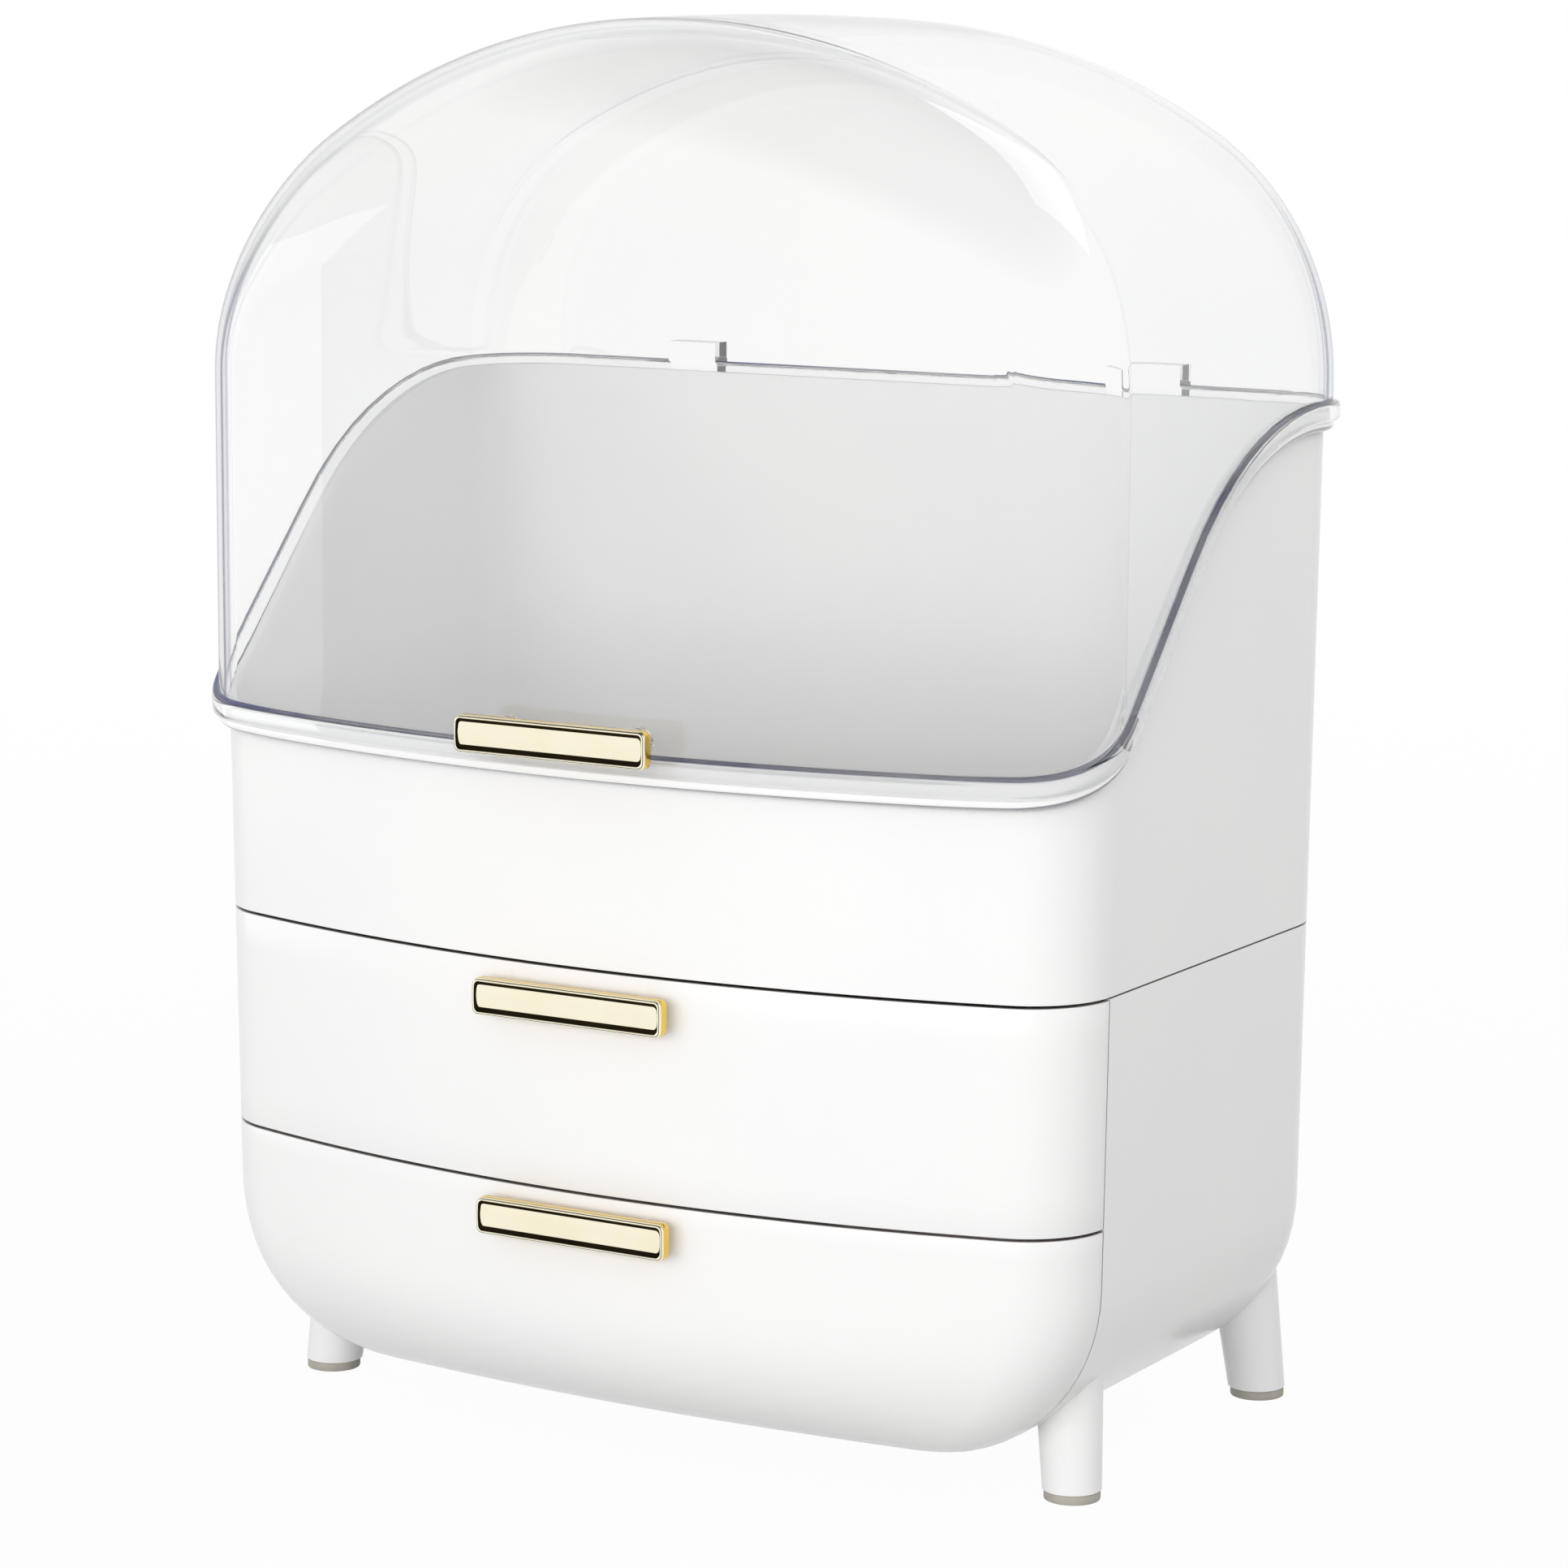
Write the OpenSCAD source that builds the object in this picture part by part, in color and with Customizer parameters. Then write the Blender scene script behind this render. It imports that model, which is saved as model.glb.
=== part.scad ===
// Dustproof makeup organizer: two bowed drawers under an open tray with a hinged clear arched lid.
// Millimetres. +X is the right-hand side, the front faces -Y, +Z is up, the floor is z = 0.

/* [Body] */
// Width of the white body at the seam under the tray
body_w = 270; // [230:1:300]
// Depth of the body from the middle of the bowed front to the back
body_d = 175; // [165:1:210]
// How far the bowed front bulges ahead of the flat side walls
front_bow = 40; // [34:1:46]
// Plan radius of the two front corners
front_corner_r = 24; // [20:1:26]
// Plan radius of the two back corners
back_corner_r = 21; // [18:1:23]
// Height of the flat underside above the floor
bottom_z = 11.5; // [10:0.5:30]
// Radius that rounds the underside into the side walls
bottom_side_r = 50; // [40:1:55]
// Radius that rounds the underside into the front and back
bottom_front_r = 35; // [26:1:36]
// Thickness of the shell's walls
wall_t = 2.5; // [2:0.1:3]
// Outward lean of each side wall per 100 mm of height
side_draft = 1.2; // [0:0.1:1.2]
// Outward lean of the front per 100 mm of height
front_draft = 2.5; // [0:0.1:2.5]

/* [Levels] */
// Height of the seam between the two drawers
drawer_seam_z = 77.5; // [74:0.5:84]
// Height of the seam under the tray
tray_seam_z = 138.5; // [134:0.5:150]
// Height of the dark gap above each drawer front
front_gap = 0.9; // [0.6:0.1:1.2]
// Width of the upright gap beside each drawer front
side_gap = 0.5; // [0.4:0.1:1]

/* [Tray rim] */
// Height of the line where lid and tray meet, along the front
rim_front_z = 191.2; // [188:0.2:193]
// Height of the same line along the back
rim_back_z = 276.4; // [276:0.2:280]
// Distance from the bowed front to where the rim starts to rise
rim_rise_start = 8; // [4:0.5:10]
// Radius of the hollow curve at the foot of the rise
rim_low_r = 49; // [42:1:52]
// Radius of the crowned curve at the top of the rise
rim_high_r = 99; // [90:1:104]
// Distance from the back at which the rim is level again
rim_level_back = 24; // [20:1:30]
// Height of the tray's own rolled bead
tray_bead_h = 2.7; // [2:0.1:3.5]
// How far the tray's bead stands out of the body's side
tray_bead_out = 4.4; // [4:0.1:4.6]
// Height of the inner lip that locates the lid
lip_h = 3; // [2:0.5:4]
// Thickness of the tray's floor
tray_floor_t = 5; // [4.5:0.5:6]

/* [Lid] */
// Thickness of the clear hood
lid_t = 2; // [1.6:0.1:2]
// How far the hood's outer face stands out of the body, sides and front
lid_out = 4; // [4:0.1:4.5]
// How far the hood's outer face stands out behind the body
lid_out_back = 3; // [3:0.1:3.5]
// Height of the hood's roof at its front and back edges
lid_top_z = 381; // [374:1:386]
// Extra height in the middle of the roof's length
lid_crown = 2.7; // [1:0.1:4]
// Height of the roof over the top of the upright walls
arch_rise = 94.5; // [89:0.5:97]
// Radius of the arch's shoulders
arch_side_r = 77; // [70:1:80]
// Front edge rounding at the sides of the hood
lid_front_r = 19; // [17:0.5:20]
// Front edge rounding at the roof
lid_front_roof_r = 46; // [40:1:50]
// Back edge rounding at the sides of the hood
lid_back_r = 24; // [23:0.5:25]
// Back edge rounding at the roof
lid_back_roof_r = 20; // [18:1:26]
// Height of the hood's thick rim
lid_bead_h = 5; // [4:0.1:6]
// How far the thick rim stands out of the hood
lid_bead_out = 2; // [1.4:0.1:2.4]

/* [Hinge] */
// Distance of each hinge from the middle
hinge_x = 75; // [50:1:90]
// Height of the hinge axis
hinge_z = 270; // [268:0.5:270]
// Distance of the hinge axis behind the body
hinge_back = 10; // [9.8:0.1:12]
// Diameter of the hinge pins
pin_d = 4; // [3:0.5:4]
// Radial running clearance between pin and lid lug
pin_clear = 0.05; // [0.02:0.01:0.1]
// Width of each lid lug
lug_w = 16; // [10:1:20]
// Thickness of each tray cheek
cheek_t = 6; // [4:0.5:8]
// Gap between lug and cheek
lug_gap = 0.4; // [0.3:0.1:0.8]

/* [Handles] */
// Length of each handle bar
handle_w = 58.6; // [50:0.1:64]
// Height of each handle bar
handle_h = 9.9; // [8.5:0.1:12]
// Thickness of each handle bar
handle_t = 4; // [3.5:0.1:5]
// Length of the posts behind the bar
post_l = 2.6; // [2:0.1:4]
// Distance between the two posts
post_span = 40; // [34:1:44]
// Height of the lid handle's centre over the front rim line
lid_handle_up = 8.5; // [8.5:0.1:14]
// Height of the upper drawer handle's centre
upper_handle_z = 128.8; // [112:0.1:129]
// Height of the lower drawer handle's centre
lower_handle_z = 69.3; // [62:0.1:69.5]
// Thickness of the clear pad that carries the lid handle
lid_pad_t = 4; // [3:0.1:5]

/* [Drawers] */
// Thickness of the bowed drawer fronts
front_t = 3; // [2.5:0.1:3]
// Distance of each drawer box inside the body's outer face
box_inset = 4.5; // [4.2:0.1:5.5]
// Thickness of the drawer boxes' walls
box_t = 2; // [1.6:0.1:2.5]
// Height of the upper drawer box's rim below the tray seam
upper_box_drop = 4; // [4:0.1:5]
// Height of the lower drawer box's rim below the drawer seam
lower_box_drop = 4; // [4:0.1:4.4]
// Thickness of the shelf between the drawers
shelf_t = 2.5; // [2:0.1:3]

/* [Legs] */
// Distance of each foot from the middle
foot_x = 119; // [112:0.5:122]
// Distance of the front feet behind the bowed front
foot_front = 54.5; // [50:0.5:60]
// Distance of the rear feet ahead of the back
foot_back = 7; // [7:0.5:12]
// Splay of the legs in degrees
leg_splay = 5.5; // [3:0.5:7]
// Leg diameter at the pad
leg_d = 15.6; // [14:0.1:18]
// Growth of the leg's diameter per 100 mm upward
leg_taper = 8; // [4:0.5:12]
// Diameter of the anti-slip pads
pad_d = 15; // [13:0.1:15.4]
// Thickness of the anti-slip pads
pad_h = 2.6; // [2:0.1:3.5]

/* [Hidden] */
$fn = 48;

// Depth layout: the lid handle is foremost, the hinge cheeks are rearmost, y = 0 is midway.
lid_handle_z = rim_front_z + lid_handle_up;
handle_reach = lid_out + lid_pad_t + post_l + handle_t;
cheek_r = 4.6;
total_d = handle_reach + body_d + hinge_back + cheek_r;
y_front = -total_d / 2 + handle_reach;
y_side = y_front + front_bow;
y_back = y_front + body_d;
half_w = body_w / 2;
hinge_y = y_back + hinge_back;

// Bowed front: one long arc that meets each front corner arc without a kink.
corner_x = half_w - front_corner_r;
bow_r = (pow(corner_x, 2) + pow(front_bow, 2) - pow(front_corner_r, 2))
  / (2 * (front_bow - front_corner_r));
bow_end = atan2(corner_x, bow_r - front_bow);
function bow_y(x) = y_front + bow_r - sqrt(pow(bow_r, 2) - pow(x, 2));

bow_steps = 9;
corner_steps = 6;
back_steps = 5;
body_plan = concat(
  [for (i = [-bow_steps : bow_steps]) let (t = bow_end * i / bow_steps)
    [bow_r * sin(t), y_front + bow_r - bow_r * cos(t)]],
  [for (i = [1 : corner_steps]) let (t = bow_end + (90 - bow_end) * i / corner_steps)
    [corner_x + front_corner_r * sin(t), y_side - front_corner_r * cos(t)]],
  [for (i = [0 : back_steps]) let (t = 90 * i / back_steps)
    [half_w - back_corner_r + back_corner_r * cos(t), y_back - back_corner_r + back_corner_r * sin(t)]],
  [for (i = [0 : back_steps]) let (t = 90 + 90 * i / back_steps)
    [back_corner_r - half_w + back_corner_r * cos(t), y_back - back_corner_r + back_corner_r * sin(t)]],
  [for (i = [0 : corner_steps - 1]) let (t = 90 - (90 - bow_end) * i / corner_steps)
    [-corner_x - front_corner_r * sin(t), y_side - front_corner_r * cos(t)]]);

// Outer skin moved inward by e, at height z: how far each wall stands in from the plan.
back_round_y = y_back - 45;
function round_in(z, r, e) = let (drop = bottom_z + r - z)
  drop <= 0 ? e : e + (r - e) - sqrt(max(0, pow(r - e, 2) - pow(drop, 2)));
function side_in(z, e) = round_in(z, bottom_side_r, e) - side_draft * (z - tray_seam_z) / 100;
function front_in(z, e) = round_in(z, bottom_front_r, e) - front_draft * (z - tray_seam_z) / 100;
function back_in(z, e) = round_in(z, bottom_front_r, e);
function ring(z, e) = let (
    kx = 1 - side_in(z, e) / half_w,
    kf = 1 - front_in(z, e) / front_bow,
    kb = 1 - back_in(z, e) / (y_back - back_round_y))
  [for (p = body_plan) [p[0] * kx,
    p[1] < y_side ? y_side + (p[1] - y_side) * kf
      : p[1] > back_round_y ? back_round_y + (p[1] - back_round_y) * kb : p[1], z]];

// Closed solid through a list of rings that all have the same number of points.
module loft(rings) {
  n = len(rings[0]);
  m = len(rings);
  polyhedron(
    points = [for (r = rings) for (p = r) p],
    faces = concat(
      [[for (j = [0 : n - 1]) j]],
      [[for (j = [0 : n - 1]) m * n - 1 - j]],
      [for (i = [0 : m - 2]) for (j = [0 : n - 1]) let (k = (j + 1) % n)
        each [[i * n + j, (i + 1) * n + j, (i + 1) * n + k], [i * n + j, (i + 1) * n + k, i * n + k]]]),
    convexity = 6);
}

// Heights of the rings: close together where the underside is rounded.
round_steps = 8;
function ring_heights(e, z_top) = concat(
  [for (i = [0 : round_steps]) let (t = 90 * i / round_steps)
    bottom_z + e + (bottom_side_r - e) * (1 - cos(t))], [z_top]);
module body_solid(e, z_top) {
  loft([for (z = ring_heights(e, z_top)) ring(z, e)]);
}
module body_slice(e, z_low, z_top) {
  loft([ring(z_low, e), ring(z_top, e)]);
}

big = 600;
module front_of(y) {
  translate([-big / 2, y - big, -1]) cube([big, big, big]);
}
module behind(y) {
  translate([-big / 2, y, -1]) cube([big, big, big]);
}
module below(z) {
  translate([-big / 2, -big / 2, z - big]) cube([big, big, big]);
}

// Round bars along Y and X, starting at the given point and running in the positive direction.
module rod_y(x, y, z, d, l) {
  translate([x, y + l, z]) rotate([90, 0, 0]) cylinder(d = d, h = l);
}
module rod_x(x, y, z, d, l) {
  translate([x, y, z]) rotate([0, 90, 0]) cylinder(d = d, h = l);
}

// Rim line in the Y-Z plane, moved up by h: level, hollow arc, slope, crowned arc, level.
rise_y = y_front + rim_rise_start;
level_y = y_back - rim_level_back;
rise_run = level_y - rise_y;
rise_h = rim_back_z - rim_front_z;
arc_sum = rim_low_r + rim_high_r;
rise_reach = norm([rise_run, arc_sum - rise_h]);
slope_a = asin(min(1, arc_sum / rise_reach)) - atan2(arc_sum - rise_h, rise_run);
rim_steps = 8;
function rim_line(h) = concat(
  [[-big / 2, rim_front_z + h]],
  [for (i = [0 : rim_steps]) let (t = slope_a * i / rim_steps)
    [rise_y + (rim_low_r - h) * sin(t), rim_front_z + rim_low_r - (rim_low_r - h) * cos(t)]],
  [for (i = [rim_steps : -1 : 0]) let (t = slope_a * i / rim_steps)
    [level_y - (rim_high_r + h) * sin(t), rim_back_z - rim_high_r + (rim_high_r + h) * cos(t)]],
  [[big / 2, rim_back_z + h]]);
// Everything above the rim line, and a band between two offsets of it.
module side_profile(points) {
  translate([-big / 2, 0, 0]) rotate([90, 0, 90]) linear_extrude(big) polygon(points);
}
module above_rim(h) {
  side_profile(concat(rim_line(h), [[big / 2, big], [-big / 2, big]]));
}
module rim_band(h_low, h_high) {
  high = rim_line(h_high);
  side_profile(concat(rim_line(h_low), [for (i = [len(high) - 1 : -1 : 0]) high[i]]));
}

// Hood, moved inward by e. Plan of its upright walls: bow, front corners, back corners.
lid_half_w = half_w + lid_out;
lid_back_y = y_back + lid_out_back;
lid_steps = 6;
function lid_bow_y(x, e) = bow_y(x) - lid_out + e;
function lid_corner(e, t) = let (x = lid_half_w - e - (lid_front_r - e) * (1 - cos(t)))
  [x, lid_bow_y(x, e) + (lid_front_r - e) * (1 - sin(t))];
function lid_back_corner(e, t) = [lid_half_w - e - (lid_back_r - e) * (1 - cos(t)),
  lid_back_y - e - (lid_back_r - e) * (1 - sin(t))];
function lid_half_plan(e) = concat(
  [for (i = [0 : bow_steps]) let (x = (lid_half_w - lid_front_r) * i / bow_steps) [x, lid_bow_y(x, e)]],
  [for (i = [lid_steps - 1 : -1 : 0]) lid_corner(e, 90 * i / lid_steps)],
  [for (i = [0 : lid_steps]) lid_back_corner(e, 90 * i / lid_steps)]);
function lid_plan(e) = let (right = lid_half_plan(e))
  concat(right, [for (i = [len(right) - 1 : -1 : 1]) [-right[i][0], right[i][1]]]);

// Arch across the hood: upright wall, shoulder arc, roof arc. Each entry is x, z, normal, roofness.
arch_x = lid_half_w - arch_side_r;
arch_spring_z = lid_top_z - arch_rise;
roof_r = (pow(arch_x, 2) + pow(arch_rise, 2) - pow(arch_side_r, 2)) / (2 * (arch_rise - arch_side_r));
arch_join = atan2(arch_spring_z - (lid_top_z - roof_r), arch_x);
arch_steps = 7;
hood_low_z = rim_front_z - 6;
function roofness(z) = let (q = max(0, min(1, (z - arch_spring_z) / arch_rise))) q * q * (3 - 2 * q);
function arch_point(cx, cz, r, t, e) = [cx + (r - e) * cos(t), cz + (r - e) * sin(t),
  cos(t), sin(t), roofness(cz + r * sin(t))];
function half_arch(e, z_low) = concat(
  [[lid_half_w - e, z_low, 1, 0, 0], [lid_half_w - e, (z_low + arch_spring_z) / 2, 1, 0, 0]],
  [for (i = [0 : arch_steps]) arch_point(arch_x, arch_spring_z, arch_side_r, arch_join * i / arch_steps, e)],
  [for (i = [1 : arch_steps]) let (t = arch_join + (90 - arch_join) * i / arch_steps)
    arch_point(0, lid_top_z - roof_r, roof_r, t, e)]);
hood_mid_y = (y_front - lid_out + lid_back_y) / 2;
hood_half_d = lid_back_y - hood_mid_y;
function crown(y, w) = lid_crown * w * (1 - pow((y - hood_mid_y) / hood_half_d, 2));
// One arch of the hood where the front (or back) edge rounding has turned by t degrees.
function edge_in(w, side_r, top_r, e, t) = (side_r + (top_r - side_r) * w - e) * (1 - cos(t));
function edge_back(w, side_r, top_r, e, t) = (side_r + (top_r - side_r) * w - e) * (1 - sin(t));
function front_point(a, e, t) = let (
    d = edge_in(a[4], lid_front_r, lid_front_roof_r, e, t),
    x = a[0] - a[2] * d,
    y = lid_bow_y(x, e) + edge_back(a[4], lid_front_r, lid_front_roof_r, e, t))
  [x, y, a[1] - a[3] * d + crown(y, a[4])];
function back_point(a, e, t) = let (
    d = edge_in(a[4], lid_back_r, lid_back_roof_r, e, t),
    y = lid_back_y - e - edge_back(a[4], lid_back_r, lid_back_roof_r, e, t))
  [a[0] - a[2] * d, y, a[1] - a[3] * d + crown(y, a[4])];
function mid_point(a) = [a[0], hood_mid_y, a[1] + crown(hood_mid_y, a[4])];
function both_sides(right) = concat(right,
  [for (i = [len(right) - 2 : -1 : 0]) [-right[i][0], right[i][1], right[i][2]]]);
function hood_arches(e, z_low) = let (half = half_arch(e, z_low)) concat(
  [for (i = [lid_steps : -1 : 0]) both_sides([for (a = half) front_point(a, e, 90 * i / lid_steps)])],
  [both_sides([for (a = half) mid_point(a)])],
  [for (i = [0 : lid_steps]) both_sides([for (a = half) back_point(a, e, 90 * i / lid_steps)])]);
// Closed hood-shaped solid: arches joined in a row, a bowed front cap, a flat back cap, a flat bottom.
cap_cols = 10;
module hood(e, z_low) {
  arches = hood_arches(e, z_low);
  m = len(arches);
  n = len(arches[0]);
  top = (n - 1) / 2;
  back = (m - 1) * n;
  cap_start = m * n;
  cap = [for (i = [0 : top - 1]) for (k = [1 : cap_cols - 1]) let (
      p = arches[0][i], x = p[0] * (1 - 2 * k / cap_cols)) [x, lid_bow_y(x, e), p[2]]];
  cap_at = function (i, k) k == 0 ? i : k == cap_cols ? n - 1 - i : cap_start + i * (cap_cols - 1) + k - 1;
  polyhedron(
    points = concat([for (a = arches) for (p = a) p], cap),
    faces = concat(
      [for (i = [0 : m - 2]) for (j = [0 : n - 2])
        each [[i * n + j, i * n + j + 1, (i + 1) * n + j + 1], [i * n + j, (i + 1) * n + j + 1, (i + 1) * n + j]]],
      // back cap, in strips from side to side
      [for (i = [0 : top - 1]) [back + i, back + i + 1, back + n - 1 - i]],
      [for (i = [0 : top - 2]) [back + i + 1, back + n - 2 - i, back + n - 1 - i]],
      // bottom, in strips, then the bowed strip in front
      [for (i = [0 : m - 2]) each [[i * n, (i + 1) * n, (i + 2) * n - 1], [i * n, (i + 2) * n - 1, (i + 1) * n - 1]]],
      [for (k = [cap_cols : -1 : 2]) [0, cap_at(0, k), cap_at(0, k - 1)]],
      // front cap
      [for (i = [0 : top - 2]) for (k = [0 : cap_cols - 1]) each [
        [cap_at(i, k), cap_at(i, k + 1), cap_at(i + 1, k + 1)],
        [cap_at(i, k), cap_at(i + 1, k + 1), cap_at(i + 1, k)]]],
      [for (k = [0 : cap_cols - 1]) [cap_at(top - 1, k), cap_at(top - 1, k + 1), top]]),
    convexity = 6);
}

// Colours
white = [0.95, 0.95, 0.95];
clear = [0.85, 0.9, 0.95, 0.35];
gold = [0.86, 0.74, 0.45];
steel = [0.7, 0.7, 0.72];
beige = [0.72, 0.68, 0.6];

// Screws and their seats
screw_d = 3;
screw_clear_d = 3.4;
head_d = 5.2;
head_h = 1.8;
boss_d = 8;
post_d = 6;
thread_play = 0.05;

// Fixing of a handle on a bowed wall: the post ends on a flat seat in front, the screw head
// sits on a flat seat inside. All seats are planes of constant y.
post_xs = [-post_span / 2, post_span / 2];
function wall_y(z) = y_front + front_in(z, 0);
seat_lift = 0.3;
function handle_seat(z) = wall_y(z) - seat_lift;
function box_seat(z) = wall_y(z) + box_inset - seat_lift;
function screw_seat(z) = wall_y(z) + box_inset + box_t + 1;
lid_seat = y_front - lid_out - lid_pad_t;
lid_screw_seat = y_front - lid_out + lid_t + 1.2;
thread_l = post_l + 1.5;

module handle_bar(seat_y, z) {
  bar_y = seat_y - post_l - handle_t;
  step = handle_t * 0.6;
  rim = 0.9;
  slope = 1.1;
  corner = 1.6;
  difference() {
    union() {
      // plate with rounded corners
      translate([0, bar_y + handle_t, z]) rotate([90, 0, 0])
        linear_extrude(step) rounded_bar(handle_w, handle_h, corner);
      // raised face with sloping flanks along the top and bottom
      intersection() {
        translate([0, bar_y + handle_t, z]) rotate([90, 0, 0])
          linear_extrude(handle_t) rounded_bar(handle_w - 2 * rim, handle_h - 2 * rim, corner);
        translate([-handle_w / 2, bar_y, z]) rotate([90, 0, 90]) linear_extrude(handle_w)
          polygon([[handle_t, rim - handle_h / 2], [handle_t - step, rim - handle_h / 2],
            [0, rim + slope - handle_h / 2], [0, handle_h / 2 - rim - slope],
            [handle_t - step, handle_h / 2 - rim], [handle_t, handle_h / 2 - rim]]);
      }
      for (x = post_xs) rod_y(x, seat_y - post_l, z, post_d, post_l);
    }
    for (x = post_xs) rod_y(x, seat_y - thread_l, z, screw_d, thread_l + 1);
  }
}
module rounded_bar(w, h, r) {
  polygon([for (c = [[1, 1, 0], [-1, 1, 90], [-1, -1, 180], [1, -1, 270]]) for (i = [0 : 4])
    [c[0] * (w / 2 - r) + r * cos(c[2] + 22.5 * i), c[1] * (h / 2 - r) + r * sin(c[2] + 22.5 * i)]]);
}
module handle_screws(head_y, seat_y, z) {
  tip_y = seat_y - thread_l + 0.2;
  for (x = post_xs) {
    rod_y(x, tip_y, z, screw_d - 2 * thread_play, head_y - tip_y);
    difference() {
      rod_y(x, head_y, z, head_d, head_h);
      translate([x - head_d / 2, head_y + head_h / 2, z - 0.3]) cube([head_d, head_h, 0.6]);
    }
  }
}

// Cabinet
deck_t = 3;
deck_z = tray_seam_z - deck_t;
groove_h = 0.5;
ledge_t = 2;
ledge_w = 2.4;
shelf_low_z = drawer_seam_z - shelf_t / 2;
shelf_in = 3.2;
slide_gap = 0.3;
runner_x = 60;
runner_w = 6;
foot_points = [[-1, y_front + foot_front, -1], [1, y_front + foot_front, -1],
  [-1, y_back - foot_back, 1], [1, y_back - foot_back, 1]];
spigot_d = 9;
spigot_clear = 0.1;
leg_top = 50;
tray_screw_at = [[-85, y_side + 18], [85, y_side + 18], [-85, y_back - 22], [85, y_back - 22]];

// Straight line up the middle of a splayed leg; children are drawn along +Z from its foot.
module on_leg(f) {
  translate([f[0] * foot_x, f[1], 0])
    rotate([f[2] * leg_splay, -f[0] * leg_splay, 0]) children();
}
module cabinet_shell() {
  color(white) difference() {
    union() {
      intersection() {
        difference() {
          body_solid(0, tray_seam_z - groove_h);
          body_solid(wall_t, deck_z);
        }
        behind(y_side);
      }
      // deck, standing proud of the wall's top edge so that a fine groove shows under the tray
      intersection() {
        body_slice(1.2, deck_z - 0.5, tray_seam_z);
        behind(y_side + 1.2);
        translate([-big / 2, -big / 2, deck_z]) cube([big, big, deck_t]);
      }
      // ledges that carry the shelf
      intersection() {
        difference() {
          body_slice(wall_t / 2, shelf_low_z - ledge_t - 1, shelf_low_z + 1);
          body_slice(wall_t + ledge_w, shelf_low_z - ledge_t - 2, shelf_low_z + 2);
        }
        translate([-big / 2, y_side, shelf_low_z - ledge_t]) cube([big, big, ledge_t]);
      }
      // runners for the lower drawer
      for (x = [-runner_x, runner_x])
        translate([x - runner_w / 2, y_side, bottom_z + wall_t / 2])
          cube([runner_w, body_d - front_bow - 30, box_inset - wall_t / 2 - slide_gap]);
    }
    for (f = foot_points) on_leg(f) cylinder(d = spigot_d + 2 * spigot_clear, h = leg_top + 10);
    for (p = tray_screw_at) translate([p[0], p[1], deck_z - 1]) {
      cylinder(d = head_d + 0.4, h = 1 + head_h);
      cylinder(d = screw_clear_d, h = deck_t + 2);
    }
  }
}
module middle_shelf() {
  color(white) intersection() {
    body_slice(shelf_in, shelf_low_z - 1, shelf_low_z + shelf_t + 1);
    translate([-big / 2, -big / 2, shelf_low_z]) cube([big, big, shelf_t]);
    behind(y_front + front_t + 8);
  }
}
module tray_screws() {
  tip_z = tray_seam_z + tray_floor_t - 1.7;
  color(steel) for (p = tray_screw_at) translate([p[0], p[1], 0]) {
    translate([0, 0, deck_z]) difference() {
      cylinder(d = head_d, h = head_h);
      translate([-head_d / 2, -0.3, -1]) cube([head_d, 0.6, 1.8]);
    }
    translate([0, 0, deck_z + head_h])
      cylinder(d = screw_d - 2 * thread_play, h = tip_z - deck_z - head_h);
  }
}

// Tray
tray_top_z = rim_back_z + lip_h + 1;
module upper_tray() {
  color(white) difference() {
    union() {
      difference() {
        body_slice(0, tray_seam_z, tray_top_z);
        above_rim(lip_h);
      }
      // rolled bead under the rim line, in two steps
      intersection() {
        translate([0, 0, rim_front_z - tray_bead_h - 5])
          linear_extrude(tray_top_z) polygon(lid_plan(lid_out - tray_bead_out));
        rim_band(0.5 - tray_bead_h, 0);
      }
      intersection() {
        translate([0, 0, rim_front_z - tray_bead_h - 5])
          linear_extrude(tray_top_z) polygon(lid_plan(lid_out - tray_bead_out + 0.8));
        rim_band(-tray_bead_h, 0);
      }
      for (s = [-1, 1]) for (c = [-1, 1]) hinge_cheek(s * hinge_x + c * (lug_w / 2 + lug_gap + cheek_t / 2));
    }
    body_slice(wall_t, tray_seam_z + tray_floor_t, tray_top_z + 5);
    for (p = tray_screw_at) translate([p[0], p[1], tray_seam_z - 1])
      cylinder(d = screw_d, h = tray_floor_t - 0.5);
    for (s = [-1, 1]) rod_x(s * hinge_x - lug_w - cheek_t, hinge_y, hinge_z, pin_d, 2 * (lug_w + cheek_t));
  }
}
module hinge_cheek(x) {
  translate([x - cheek_t / 2, 0, 0]) rotate([90, 0, 90]) linear_extrude(cheek_t)
    polygon([[y_back - 1, hinge_z + cheek_r], [y_back - 1, hinge_z - 3 * cheek_r],
      [hinge_y, hinge_z - cheek_r], [hinge_y, hinge_z + cheek_r]]);
  rod_x(x - cheek_t / 2, hinge_y, hinge_z, 2 * cheek_r, cheek_t);
}
module hinge_pins() {
  pin_l = lug_w + 2 * (lug_gap + cheek_t);
  color(steel) for (s = [-1, 1]) rod_x(s * hinge_x - pin_l / 2, hinge_y, hinge_z, pin_d, pin_l);
}

// Legs and pads
module leg(f) {
  axis_l = leg_top / cos(leg_splay) / cos(leg_splay);
  color(white) difference() {
    union() {
      difference() {
        on_leg(f) cylinder(d1 = leg_d, d2 = leg_d + leg_taper * axis_l / 100, h = axis_l);
        body_solid(0, tray_seam_z);
      }
      on_leg(f) cylinder(d = spigot_d, h = leg_top);
    }
    body_solid(wall_t, tray_seam_z);
    below(pad_h);
  }
}
module foot_pad(f) {
  lean = tan(leg_splay) * pad_h / 2;
  color(beige) translate([f[0] * (foot_x - lean), f[1] - f[2] * lean, 0]) {
    cylinder(d = pad_d, h = pad_h);
  }
}
module front_left_leg() leg(foot_points[0]);
module front_right_leg() leg(foot_points[1]);
module rear_left_leg() leg(foot_points[2]);
module rear_right_leg() leg(foot_points[3]);
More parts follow.
